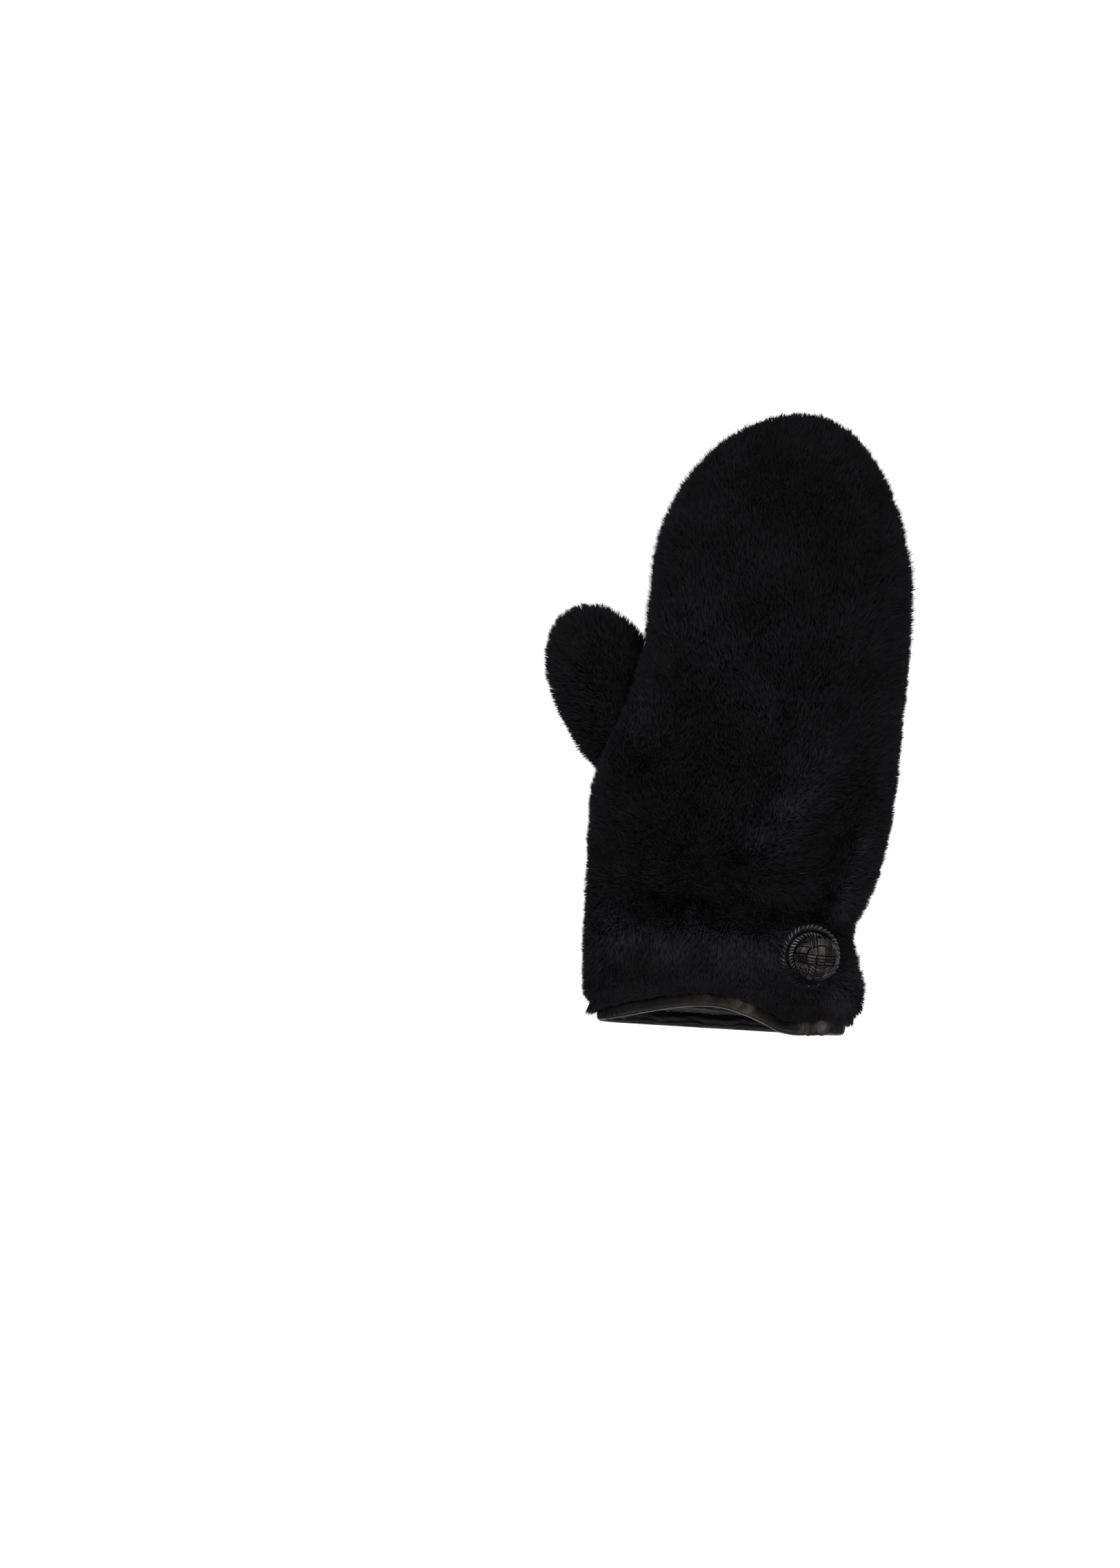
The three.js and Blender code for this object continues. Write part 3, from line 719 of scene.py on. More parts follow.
def effect(name: str, inputs: dict[str, tuple[Sockets, object]], outputs: dict[str, Sockets]) -> bpy.types.NodeTree:
    """A shader node group with named inputs and outputs, still without nodes between them.

    Args:
        name: the effect's name.
        inputs: each input's kind and its value where a material gives none.
        outputs: each output's kind.
    Returns:
        The group's tree.
    """
    tree = bpy.data.node_groups.new(name, "ShaderNodeTree")
    for label, (kind, value) in inputs.items():
        socket = tree.interface.new_socket(label, in_out="INPUT", socket_type=kind.value)
        socket.default_value = value
    for label, kind in outputs.items():
        tree.interface.new_socket(label, in_out="OUTPUT", socket_type=kind.value)
    return tree


def pile_tones() -> bpy.types.NodeTree:
    """The effect of sheared pile: each hair has a tone of its own, which carries the pile's painted light and painted
    shade, lighter to its tip, in soft drifts.
    """
    tree = effect(
        "PileTones",
        {"Root": (Sockets.COLOR, (0, 0, 0, 1)), "Tip": (Sockets.COLOR, (0, 0, 0, 1)), "Drift": (Sockets.NUMBER, 0.5)},
        {"Color": Sockets.COLOR, "Roughness": Sockets.NUMBER},
    )
    draw = NodeSketch(tree)
    given = draw.node("NodeGroupInput")
    result = draw.node("NodeGroupOutput")
    where = draw.node("ShaderNodeTexCoord").outputs["Object"]
    tone = draw.node("ShaderNodeAttribute", attribute_name="pattern").outputs["Fac"]
    reach = draw.node("ShaderNodeAttribute", attribute_name="reach").outputs["Fac"]
    drifts = draw.span(draw.noise(where, 16.0, 3.0), 0.35, 0.65, 0.55, 1.0)
    mottle = draw.span(draw.noise(where, 3.2, 2.0), 0.3, 0.7, 0.6, 1.0)
    patches = draw.sum(drifts, mottle, "MULTIPLY")
    light = draw.sum(draw.sum(tone, reach, "MULTIPLY"), patches, "MULTIPLY")
    drawn = draw.mix(light, given.outputs["Root"], given.outputs["Tip"])
    draw.feed(drawn, result.inputs["Color"])
    draw.feed(draw.span(drifts, 0.55, 1.0, 0.78, 0.6), result.inputs["Roughness"])
    return tree


def leather_grain() -> bpy.types.NodeTree:
    """The effect of grained leather: pebbles with creases between them, soft stretch wrinkles, and a lighter colour
    that is scuffing on some pieces and painted highlight on others.

    The attribute "pattern" says how light a place is, from 0 as in a crease to 1: scuffing, and on the band, its edge
    and the woven dome painted light and painted shade.
    """
    tree = effect(
        "LeatherGrain",
        {
            "Color": (Sockets.COLOR, (0, 0, 0, 1)),
            "Rubbed and lit": (Sockets.COLOR, (0, 0, 0, 1)),
            "Smooth": (Sockets.NUMBER, 0.35),
            "Rough": (Sockets.NUMBER, 0.6),
        },
        {"Color": Sockets.COLOR, "Roughness": Sockets.NUMBER, "Height": Sockets.NUMBER},
    )
    draw = NodeSketch(tree)
    given = draw.node("NodeGroupInput")
    result = draw.node("NodeGroupOutput")
    where = draw.node("ShaderNodeTexCoord").outputs["Object"]
    pebbles = draw.span(draw.cells(where, 0.34, "F1"), 0.75, 0.2)
    glint = draw.span(pebbles, 0.0, 1.0, 0.4, 1.0)
    wrinkles = draw.noise(where, 2.0, 5.0, 0.62)
    wear_and_highlight_mask = draw.node("ShaderNodeAttribute", attribute_name="pattern").outputs["Fac"]
    rubbed = draw.span(draw.noise(where, 7.0, 4.0, 0.65), 0.42, 0.7, 0.15, 1.0)
    wear_and_highlight_share = draw.sum(draw.sum(glint, rubbed, "MULTIPLY"), wear_and_highlight_mask, "MULTIPLY")
    draw.feed(draw.mix(wear_and_highlight_share, given.outputs["Color"], given.outputs["Rubbed and lit"]), result.inputs["Color"])
    roughness = draw.node("ShaderNodeMapRange")
    draw.feed(wear_and_highlight_share, roughness.inputs["Value"])
    draw.feed(given.outputs["Rough"], roughness.inputs["To Min"])
    draw.feed(given.outputs["Smooth"], roughness.inputs["To Max"])
    draw.feed(roughness.outputs["Result"], result.inputs["Roughness"])
    height = draw.sum(draw.sum(pebbles, 0.3, "MULTIPLY"), wrinkles)
    draw.feed(height, result.inputs["Height"])
    return tree


@dataclass(frozen=True)
class Finish:
    """What every finish has: a name, and sockets that are the same all over the surface."""

    name: str = "finish"
    specular: float = 0.5
    sheen: float = 0.0
    sheen_roughness: float = 0.5
    sheen_tint: tuple[float, float, float] = (1.0, 1.0, 1.0)
    coat: float = 0.0
    coat_roughness: float = 0.3

    def shader(self) -> tuple[bpy.types.Material, NodeSketch, bpy.types.Node]:
        """A new material with its constants set on the shader's own sockets."""
        material = bpy.data.materials.new(self.name)
        material.use_nodes = True
        draw = NodeSketch(material.node_tree)
        surface = material.node_tree.nodes["Principled BSDF"]
        surface.inputs["Specular IOR Level"].default_value = self.specular
        surface.inputs["Sheen Weight"].default_value = self.sheen
        surface.inputs["Sheen Roughness"].default_value = self.sheen_roughness
        surface.inputs["Sheen Tint"].default_value = (*self.sheen_tint, 1)
        surface.inputs["Coat Weight"].default_value = self.coat
        surface.inputs["Coat Roughness"].default_value = self.coat_roughness
        return material, draw, surface


@dataclass(frozen=True)
class FurFinish(Finish):
    """Sheared pile, near black, with a faint cool sheen."""

    name: str = "sheared_fur"
    specular: float = 0.045
    sheen: float = 0.012
    sheen_roughness: float = 0.45
    sheen_tint: tuple[float, float, float] = (0.8, 0.84, 1.0)
    root: tuple[float, float, float] = (0.0016, 0.0016, 0.0018)
    tip: tuple[float, float, float] = (0.0156, 0.0154, 0.0196)

    def material(self, tones: bpy.types.NodeTree) -> bpy.types.Material:
        """The material of the hairs and of the skin under them."""
        material, draw, surface = self.shader()
        pile = draw.node("ShaderNodeGroup", node_tree=tones)
        pile.inputs["Root"].default_value = (*self.root, 1)
        pile.inputs["Tip"].default_value = (*self.tip, 1)
        draw.feed(pile.outputs["Color"], surface.inputs["Base Color"])
        draw.feed(pile.outputs["Roughness"], surface.inputs["Roughness"])
        return material


@dataclass(frozen=True)
class LeatherFinish(Finish):
    """Soft grained leather, lighter on scuffed high places, and where a piece's pattern paints highlights."""

    name: str = "leather"
    specular: float = 0.06
    color: tuple[float, float, float] = (0.0016, 0.0014, 0.0014)
    rubbed: tuple[float, float, float] = (0.115, 0.092, 0.082)
    smooth: float = 0.22
    rough: float = 0.38
    relief: float = 0.14

    def material(self, grain: bpy.types.NodeTree) -> bpy.types.Material:
        """The leather's material, with its grain given relief by bump."""
        material, draw, surface = self.shader()
        skin = draw.node("ShaderNodeGroup", node_tree=grain)
        skin.inputs["Color"].default_value = (*self.color, 1)
        skin.inputs["Rubbed and lit"].default_value = (*self.rubbed, 1)
        skin.inputs["Smooth"].default_value = self.smooth
        skin.inputs["Rough"].default_value = self.rough
        draw.feed(skin.outputs["Color"], surface.inputs["Base Color"])
        draw.feed(skin.outputs["Roughness"], surface.inputs["Roughness"])
        bump = draw.node("ShaderNodeBump")
        bump.inputs["Strength"].default_value = 0.9
        bump.inputs["Distance"].default_value = self.relief * MM
        draw.feed(skin.outputs["Height"], bump.inputs["Height"])
        draw.feed(bump.outputs["Normal"], surface.inputs["Normal"])
        return material


@dataclass(frozen=True)
class SatinFinish(Finish):
    """Glossy lining cloth with a fine weave and drawn creases, whose ridges carry a painted highlight."""

    name: str = "satin_lining"
    specular: float = 0.08
    color: tuple[float, float, float] = (0.0016, 0.0015, 0.0016)
    bright: tuple[float, float, float] = (0.014, 0.012, 0.012)
    creases: tuple[float, float, float] = (0.13, 1.0, 1.0)

    def material(self) -> bpy.types.Material:
        """The lining's material."""
        material, draw, surface = self.shader()
        where = draw.node("ShaderNodeTexCoord").outputs["Object"]
        stretched = draw.node("ShaderNodeVectorMath", operation="MULTIPLY")
        draw.feed(where, stretched.inputs[0])
        stretched.inputs[1].default_value = self.creases
        drawn = draw.noise(stretched.outputs["Vector"], 2.2, 3.0, 0.6)
        weave = draw.cells(where, 0.35, "F1")
        # Painted highlight on the creases' ridges
        draw.feed(
            draw.mix(draw.span(drawn, 0.56, 0.68), (*self.color, 1), (*self.bright, 1)),
            surface.inputs["Base Color"],
        )
        draw.feed(draw.span(drawn, 0.3, 0.7, 0.42, 0.22), surface.inputs["Roughness"])
        bump = draw.node("ShaderNodeBump")
        bump.inputs["Strength"].default_value = 0.8
        bump.inputs["Distance"].default_value = 0.7 * MM
        draw.feed(draw.sum(drawn, draw.sum(weave, 0.06, "MULTIPLY")), bump.inputs["Height"])
        draw.feed(bump.outputs["Normal"], surface.inputs["Normal"])
        return material


@dataclass
class Wardrobe:
    """Every finish of the mitten, made once."""

    fur: bpy.types.Material = field(init=False)
    binding: bpy.types.Material = field(init=False)
    edge: bpy.types.Material = field(init=False)
    woven: bpy.types.Material = field(init=False)
    cord: bpy.types.Material = field(init=False)
    stitch: bpy.types.Material = field(init=False)
    lining: bpy.types.Material = field(init=False)

    def __post_init__(self) -> None:
        """Builds the shared effects and the materials that use them."""
        tones = pile_tones()
        grain = leather_grain()
        self.fur = FurFinish().material(tones)
        # The band's lighter colour is painted highlight where its pattern puts it
        self.binding = LeatherFinish(name="binding_leather").material(grain)
        # The edge's light colour is a painted highlight line along the band's lower side
        self.edge = LeatherFinish(
            name="binding_edge", color=(0.036, 0.035, 0.034), rubbed=(0.1, 0.096, 0.094), rough=0.4, relief=0.05
        ).material(grain)
        # The dome's lighter colour is painted highlight on its strips
        self.woven = LeatherFinish(
            name="woven_leather",
            specular=0.065,
            color=(0.0005, 0.0005, 0.0005),
            rubbed=(0.11, 0.095, 0.094),
            smooth=0.2,
            rough=0.3,
            relief=0.06,
        ).material(grain)
        self.cord = LeatherFinish(
            name="cord_leather", color=(0.0025, 0.0024, 0.0026), rubbed=(0.024, 0.022, 0.024), relief=0.08
        ).material(grain)
        self.stitch = LeatherFinish(
            name="whip_stitch",
            specular=0.09,
            color=(0.03, 0.029, 0.031),
            rubbed=(0.19, 0.18, 0.185),
            smooth=0.25,
            relief=0.05,
        ).material(grain)
        self.lining = SatinFinish().material()


def dress(piece: bpy.types.Object, material: bpy.types.Material, slot: str, *nodes: str) -> bpy.types.Object:
    """Gives a piece its material, lets it ride on the mitten's body, and has it stand for CAD nodes."""
    piece.data.materials.clear()
    piece.data.materials.append(material)
    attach(piece, BODY)
    if nodes:
        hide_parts(*nodes)
    log.info("%s: %d triangles", piece.name, sum(len(face.vertices) - 2 for face in piece.data.polygons))
    return piece


@dataclass
class Skins:
    """The fur panels' skins under the pile: back, palm and thumb, each a wall of its own."""

    mitten: Mitten
    offset: Array
    pile: float = 3.2
    gap: float = 0.3
    seam_gap: float = 0.004
    rows: tuple[int, int] = (50, 16)
    columns: int = 44

    def panel(self, name: str, is_back: bool) -> bpy.types.Object:
        """A panel's skin: the hand's surface between the seams, from under the pile to the wall's inside.

        Args:
            name: the piece's name.
            is_back: whether it is the back's panel or the palm's.
        Returns:
            The piece.
        """
        hand = self.mitten.hand
        share = np.linspace(0, 1, self.columns + 1)[None, :]
        walls = []
        for inset in (self.pile, hand.wall):
            distance = hand.distances(inset, *self.rows)[:, None]
            seam = hand.seam_angle(distance, inset)
            low = self.seam_gap if is_back else seam + self.seam_gap
            high = seam - self.seam_gap if is_back else TURN - self.seam_gap
            walls.append(hand.points(distance, low + (high - low) * share, inset))
        outer, inner = walls
        if is_back:
            outer = self.make_seat(outer)
        surface = Surface()
        thick_sheet(surface, outer, inner)
        return surface.to_object(name, self.offset, merge=0.01)

    def make_seat(self, points: Array) -> Array:
        """The skin's points, pressed down where the button sits: under its rim's foot."""
        button = self.mitten.button
        matrix = np.array(button.matrix(self.mitten.hand))
        local = (points - matrix[:3, 3]) @ matrix[:3, :3]
        radius = np.hypot(local[..., 0], local[..., 1])
        near = 1 - smoothstep(radius, button.rim_radius + 2.0, button.rim_radius + 5.0)
        lowered = np.minimum(local[..., 2], -self.gap)
        local[..., 2] += (lowered - local[..., 2]) * near
        return local @ matrix[:3, :3].T + matrix[:3, 3]

    def build(self, wardrobe: Wardrobe) -> None:
        """Makes the three skins. The palm's opens into the thumb, and the thumb's into the hand."""
        wall = self.mitten.hand.wall
        back = self.panel("back_skin", True)
        palm = self.panel("palm_skin", False)
        cut_away(palm, thumb_solid("thumb_room", self.mitten, self.offset, wall))
        thumb = thumb_solid("thumb_skin", self.mitten, self.offset, self.pile)
        cut_away(thumb, thumb_solid("thumb_room", self.mitten, self.offset, wall))
        cut_away(thumb, hand_solid("hand_room", self.mitten, self.offset, self.pile - self.gap))
        dress(back, wardrobe.fur, "fur", "back_panel")
        dress(palm, wardrobe.fur, "fur", "palm_panel")
        dress(thumb, wardrobe.fur, "fur", "thumb")


@dataclass
class Roots:
    """Places on the fur's outer surface where tufts grow, with the ways out and along the nap.

    proud is how far each tip stands out past its neighbours, in millimetres, and girth a share of the usual one.
    """

    points: Array
    normals: Array
    nap: Array
    proud: Array
    girth: Array

    def keep(self, which: Array) -> "Roots":
        """Only the places that a mask keeps."""
        return Roots(*(getattr(self, part.name)[which] for part in fields(self)))

    def join(self, other: "Roots") -> "Roots":
        """These places and some others."""
        both = ((getattr(self, part.name), getattr(other, part.name)) for part in fields(self))
        return Roots(*(np.concatenate(pair) for pair in both))


def scatter(grid: Array, count: int, density: Array, rng: np.random.Generator) -> Roots:
    """Scatters places over a surface, evenly by area times density.

    Args:
        grid: the surface's points, rows by columns by three, with rows along the nap.
        count: how many places.
        density: a number for each of the grid's cells.
        rng: the seeded source of chance.
    Returns:
        The places.
    """
    along = np.gradient(grid, axis=0)
    around = np.gradient(grid, axis=1)
    normals = unit(np.cross(along, around))
    area = np.linalg.norm(np.cross(grid[1:, 1:] - grid[:-1, :-1], grid[1:, :-1] - grid[:-1, 1:]), axis=-1) / 2
    weight = (area * density).reshape(-1)
    total = np.cumsum(weight)
    picked = np.searchsorted(total, rng.uniform(0, total[-1], count))
    row, column = np.divmod(np.minimum(picked, weight.size - 1), grid.shape[1] - 1)
    s, t = rng.uniform(0, 1, (2, count, 1))

    def between(values: Array) -> Array:
        low = values[row, column] * (1 - t) + values[row, column + 1] * t
        high = values[row + 1, column] * (1 - t) + values[row + 1, column + 1] * t
        return low * (1 - s) + high * s

    nap = unit(between(along))
    normal = unit(between(normals))
    flat = unit(nap - normal * np.sum(nap * normal, axis=-1, keepdims=True))
    return Roots(between(grid), normal, flat, np.zeros(count), np.ones(count))


@dataclass
class Pile:
    """The fur's pile: closed four-sided tufts from the skin to the fur's outer surface, and finer guard hairs."""

    mitten: Mitten
    offset: Array
    depth: float = 3.9
    lean: float = 1.9
    rise: float = 0.35
    raggedness: float = 0.6
    thickness: float = 0.47
    flatness: float = 0.5
    clump: float = 0.85
    seed: int = 7
    hand_count: int = 134_000
    under_count: int = 14_000
    thumb_count: int = 15_500
    hem_count: int = 8_000
    guard_count: int = 17_000
    guard_proud: float = 1.5
    guard_girth: float = 0.38
    glitter: float = 0.4
    overhang: float = 1.8
    lies_below: float = 1.0
    # ridge_light sets the painted light on the folds' ridges; where the nap turns also gets painted light
    ridge_light: float = 47.0
    turning: tuple[float, float] = (48.0, 68.0)
    crown: float = 5.0
    # The line where the palm's edge rolls over the thumb's root, which gets painted light
    rolled_from: tuple[float, float] = (-45.5, 141.0)
    rolled_to: tuple[float, float] = (-55.0, 116.0)
    collar_count: int = 3_200
    collar_width: float = 3.0
    collar_proud: tuple[float, float] = (0.8, 2.4)

    def __post_init__(self) -> None:
        """Seeds the fields that comb the pile."""
        self.rng = np.random.default_rng(self.seed)
        self.clumps = Wander(self.seed + 1, 2.3)
        self.locks = Wander(self.seed + 2, 8.0)
        self.drifts = Wander(self.seed + 3, 30.0)

    def hand_grid(self) -> Array:
        """The hand's outer surface as a grid, rows from the cuff to the fingertips."""
        hand = self.mitten.hand
        distance = hand.distances(0.0, 150, 60)[:, None]
        return hand.points(distance, np.linspace(0, TURN, 361)[None, :], 0.0)

    def thumb_grid(self) -> Array:
        """The thumb's outer surface as a grid, rows from its root to its tip."""
        rise = np.linspace(-math.pi / 2 + 0.01, math.pi / 2 - 0.005, 160)[:, None]
        return self.mitten.thumb.points(self.mitten.hand, rise, np.linspace(0, TURN, 181)[None, :], 0.0)

    def hand_roots(self) -> Roots:
        """Places over the hand, few on the palm's underside where the pile is pressed flat.

        The nap runs to the fingertips. Across the cuff's upper fold it swings outward on both sides, and below it
        the nap lies the other way.
        """
        grid = self.hand_grid()
        middle = (grid[1:, 1:] + grid[:-1, :-1]) / 2
        density = np.where(middle[..., 2] < self.lies_below, 0.0, 1.0)
        above = scatter(grid, self.hand_count, density, self.rng)
        roots = above.join(scatter(grid, self.under_count, 1.0 - density, self.rng))
        turn = math.pi * (1 - smoothstep(roots.points[:, 1:2], *self.turning))
        outward = np.tanh((roots.points[:, :1] - self.crown) / 12)
        side = np.cross(roots.nap, roots.normals)
        roots.nap = roots.nap * np.cos(turn) + side * np.sin(turn) * outward
        return roots

    def hem_roots(self) -> Roots:
        """Places on the pile's rounded end at the cuff, outside the binding. They hang over it at its two ends."""
        hand = self.mitten.hand
        angle = np.linspace(0, TURN, 361)[None, :]
        share = np.linspace(0, 1, 7)[:, None, None]
        outer = hand.points(0.0, angle, 0.0)
        inner = hand.points(0.0, angle, hand.wall)
        grid = outer + (inner - outer) * share * 0.62
        roots = scatter(grid, self.hem_count, np.ones((grid.shape[0] - 1, grid.shape[1] - 1)), self.rng)
        down = np.broadcast_to(np.array([0.0, -1.0, 0.0]), roots.normals.shape)
        outward = -roots.nap
        at_side = smoothstep(np.abs(roots.points[:, 0]) / hand.width, 0.3, 0.44)[:, None]
        by_thumb = smoothstep(-roots.points[:, 0] / hand.width, 0.34, 0.4)
        proud = at_side[:, 0] * self.overhang * (1 + 1.2 * by_thumb) * self.rng.uniform(0.2, 1.0, len(at_side))
        points = roots.points - down * 0.15 * (1 - at_side)
        return Roots(points, unit(down * (0.8 + at_side) + outward), down, proud, roots.girth)

    def thumb_roots(self) -> Roots:
        """Places over the thumb, outside the hand, with longer and more ragged pile at its tip."""
        grid = self.thumb_grid()
        middle = (grid[1:, 1:] + grid[:-1, :-1]) / 2
        density = np.where(middle[..., 2] < self.lies_below, 0.4, 1.0)
        roots = scatter(grid, self.thumb_count, density, self.rng)
        roots = roots.keep(~self.mitten.hand.holds(roots.points, 0.4))
        roots.proud = self.tip_length(roots.points)
        return roots

    def tip_length(self, points: Array) -> Array:
        """How much longer the pile is at the thumb's tip, in ragged locks."""
        tip = smoothstep(points[:, 1], 166.0, 182.0)
        return tip * (0.7 + 1.3 * np.maximum(self.clumps(points)[:, 0], 0))

    def guard_roots(self) -> Roots:
        """Places of the guard hairs: fine single hairs that stand out, most of them where the fur turns over."""
        places = []
        for grid, share in ((self.hand_grid(), 0.82), (self.thumb_grid(), 0.18)):
            normals = unit(np.cross(np.gradient(grid, axis=0), np.gradient(grid, axis=1)))[:-1, :-1]
            density = 0.12 + 0.88 * bell(normals[..., 2], 0.45)
            density = density * (grid[:-1, :-1, 2] > self.lies_below)
            places.append(scatter(grid, int(self.guard_count * share), density, self.rng))
        hand, thumb = places
        hand = hand.keep(~self.mitten.thumb.holds(self.mitten.hand, hand.points))
        thumb = thumb.keep(~self.mitten.hand.holds(thumb.points, 0.4))
        roots = hand.join(thumb)
        chance = self.rng.uniform(0.15, 1.0, len(roots.points))
        roots.proud = self.guard_proud * chance + self.tip_length(roots.points)
        roots.girth = np.full(len(roots.points), self.guard_girth)
        return roots

    def comb(self, roots: Roots) -> tuple[Array, Array]:
        """The feet and tips of the tufts: leaned along the nap, drawn into clumps, and parted at the seams."""
        points, normals = roots.points, roots.normals
        drift = self.drifts(points)
        clump = self.clumps(points)
        lock = self.locks(points)
        side = np.cross(normals, roots.nap)
        turn = drift[:, :1] * 0.8 + lock[:, :1] * 0.5
        nap = roots.nap * np.cos(turn) + side * np.sin(turn)
        chance = self.rng.normal(0, 1, (len(points), 3))
        tangled = chance - normals * np.sum(chance * normals, axis=-1, keepdims=True)
        height = self.rise + self.raggedness * (0.5 * clump[:, 2:] + 0.5 * lock[:, 2:] + 0.35 * chance[:, :1])
        height = height - self.parting(points)[:, None] + roots.proud[:, None]
        lean = self.lean * (1 + 0.35 * drift[:, 1:2] + 0.3 * lock[:, 1:2]) + roots.proud[:, None] * 0.5
        tips = points + normals * height + nap * lean * 0.55
        tips = tips + clump * self.clump + lock * 0.4 + tangled * 0.3
        feet = points - normals * self.depth - nap * lean * 0.45 + tangled * 0.15
        floor = 0.15 + 0.1 * np.abs(chance[:, 2])
        tips[:, 2] = np.maximum(tips[:, 2], floor)
        feet[:, 2] = np.maximum(feet[:, 2], floor + 0.8)
        return feet, tips

    def tones(self, points: Array) -> Array:
        """Each tuft's tone: chance and soft patches of the nap, with painted light and painted shade.

        Painted light makes the pile lighter on the folds' ridges, where the nap turns and the pile stands up, and along
        the line where the palm's edge rolls over the thumb's root. Painted shade makes it darker in the folds' valleys
        and at the seams' partings.
        """
        hand = self.mitten.hand
        ridge = hand.fold_rise(points[:, 0], points[:, 1]) / hand.thickness
        patches = 1 + 0.3 * self.locks(points)[:, 0] + 0.3 * self.drifts(points)[:, 2]
        # Painted light on the folds' ridges and painted shade in their valleys
        lit_ridges_shaded_valleys = np.maximum(ridge - 0.015, 0) + 0.5 * np.minimum(ridge, 0)
        opened = np.clip(1 + self.ridge_light * lit_ridges_shaded_valleys, 0.6, 3.9)
        # Painted light where the nap turns
        turn_light = 1 + 0.4 * bell(points[:, 1] - sum(self.turning) / 2, 8.0)
        # Painted light along the line where the palm's edge rolls over the thumb's root
        start, run = np.array(self.rolled_from), np.array(self.rolled_to) - np.array(self.rolled_from)
        share = np.clip((points[:, :2] - start) @ run / (run @ run), 0, 1)
        away = np.linalg.norm(points[:, :2] - start - run * share[:, None], axis=-1)
        roll_light = 1 + 1.3 * bell(away, 5.0) * (points[:, 2] > 10)
        # Painted shade at the seams' partings
        shaded = 1 - 0.4 * self.parting(points)
        tone = self.rng.uniform(0.1, 0.45, len(points)) * patches * opened * turn_light * roll_light * shaded
        return np.clip(tone, 0.0, 1.4)

    def parting(self, points: Array) -> Array:
        """How much lower the pile is near the seam on the thumb's side and the gusset's seam."""
        hand = self.mitten.hand
        section = hand.section(np.clip(points[:, 1], 0, hand.length), 0.0)
        along = bell(points[:, 0] - section.seam, 1.3) * (points[:, 2] > 12)
        gusset_y = 135.2 - (points[:, 0] + 54.7) * 0.11
        across = bell(points[:, 1] - gusset_y, 1.1) * smoothstep(points[:, 0], -60.0, -54.0)
        across = across * (1 - smoothstep(points[:, 0], -44.0, -38.0)) * (points[:, 2] > 12)
        return 0.9 * along + 1.3 * across

    def from_button(self, points: Array) -> tuple[Array, Array, Array]:
        """How far points lie from the button's axis, which lie by its foot and not under the mitten, and its centre."""
        matrix = np.array(self.mitten.button.matrix(self.mitten.hand))
        local = (points - matrix[:3, 3]) @ matrix[:3, :3]
        return np.hypot(local[..., 0], local[..., 1]), local[..., 2] > -8, matrix[:3, 3]

    def clear_button(self, roots: Roots) -> Roots:
        """Leaves the button's seat bare."""
        radius, by_foot, _ = self.from_button(roots.points)
        return roots.keep(~((radius < self.mitten.button.rim_radius + 0.6) & by_foot))

    def collar_roots(self) -> Roots:
        """Places along the button's rim, on the fingers' side and the cuff's, where the pile falls over it."""
        grid = self.hand_grid()
        radius, by_foot, centre = self.from_button(grid[:-1, :-1])
        middle = self.mitten.button.rim_radius + self.collar_width / 2 - 0.6
        rise = (grid[:-1, :-1, 1] - centre[1]) / np.maximum(radius, 1.0)
        falls = smoothstep(-rise, 0.45, 0.8) + 0.6 * smoothstep(rise, 0.55, 0.85)
        density = falls * by_foot * (np.abs(radius - middle) < self.collar_width / 2)
        roots = scatter(grid, self.collar_count, density, self.rng)
        roots.nap = unit(centre + np.array([0.0, 0.0, 4.0]) - roots.points)
        roots.proud = self.rng.uniform(*self.collar_proud, len(roots.points))
        return roots

    def tufts(self, name: str, roots: Roots, material: bpy.types.Material) -> None:
        """Makes one piece of tufts: each a slim pyramid, flattened across, with its foot in the skin.

        A tuft is shaded as its part of the fur's surface faces, with some chance, and a little along the tuft at its
        tip, so that the folds show as they do in a dense pile.

        Args:
            name: the piece's name.
            roots: where its tufts grow.
            material: the fur's material.
        """
        feet, tips = self.comb(roots)
        count = len(feet)
        way = unit(tips - feet)
        twist = self.rng.normal(0, 1, (count, 3))
        across = unit(np.cross(way, twist))
        over = np.cross(way, across)
        size = self.thickness * roots.girth[:, None] * self.rng.uniform(0.7, 1.3, (count, 1))
        corners = [feet + across * size, feet + (over * self.flatness - across * 0.5) * size]
        corners += [feet - (over * self.flatness + across * 0.5) * size, tips]
        vertices = ((np.stack(corners, axis=1) + self.offset) * MM).reshape(-1, 3)
        first = np.arange(count)[:, None, None] * 4
        sides = np.array([[0, 1, 3], [1, 2, 3], [2, 0, 3], [0, 2, 1]])[None]
        faces = (first + sides).reshape(-1)
        mesh = bpy.data.meshes.new(name)
        mesh.vertices.add(len(vertices))
        mesh.vertices.foreach_set("co", vertices.reshape(-1).astype(np.float32))
        mesh.loops.add(len(faces))
        mesh.loops.foreach_set("vertex_index", faces.astype(np.int32))
        mesh.polygons.add(count * 4)
        mesh.polygons.foreach_set("loop_start", np.arange(0, count * 12, 3, dtype=np.int32))
        mesh.update(calc_edges=True)
        facing = roots.normals + self.rng.normal(0, self.glitter, (count, 3))
        facing = unit(facing[:, None] + way[:, None] * np.array([0.0, 0.0, 0.0, 0.35])[None, :, None])
        mesh.normals_split_custom_set_from_vertices(facing.reshape(-1, 3))
        tone = np.repeat(self.tones(roots.points), 4).astype(np.float32)
        reach = np.tile(np.array([0, 0, 0, 1], np.float32), count)
        mesh.attributes.new("pattern", "FLOAT", "POINT").data.foreach_set("value", tone)
        mesh.attributes.new("reach", "FLOAT", "POINT").data.foreach_set("value", reach)
        self.lay_out(mesh, count, faces)
        piece = bpy.data.objects.new(name, mesh)
        bpy.context.scene.collection.objects.link(piece)
        dress(piece, material, "fur")

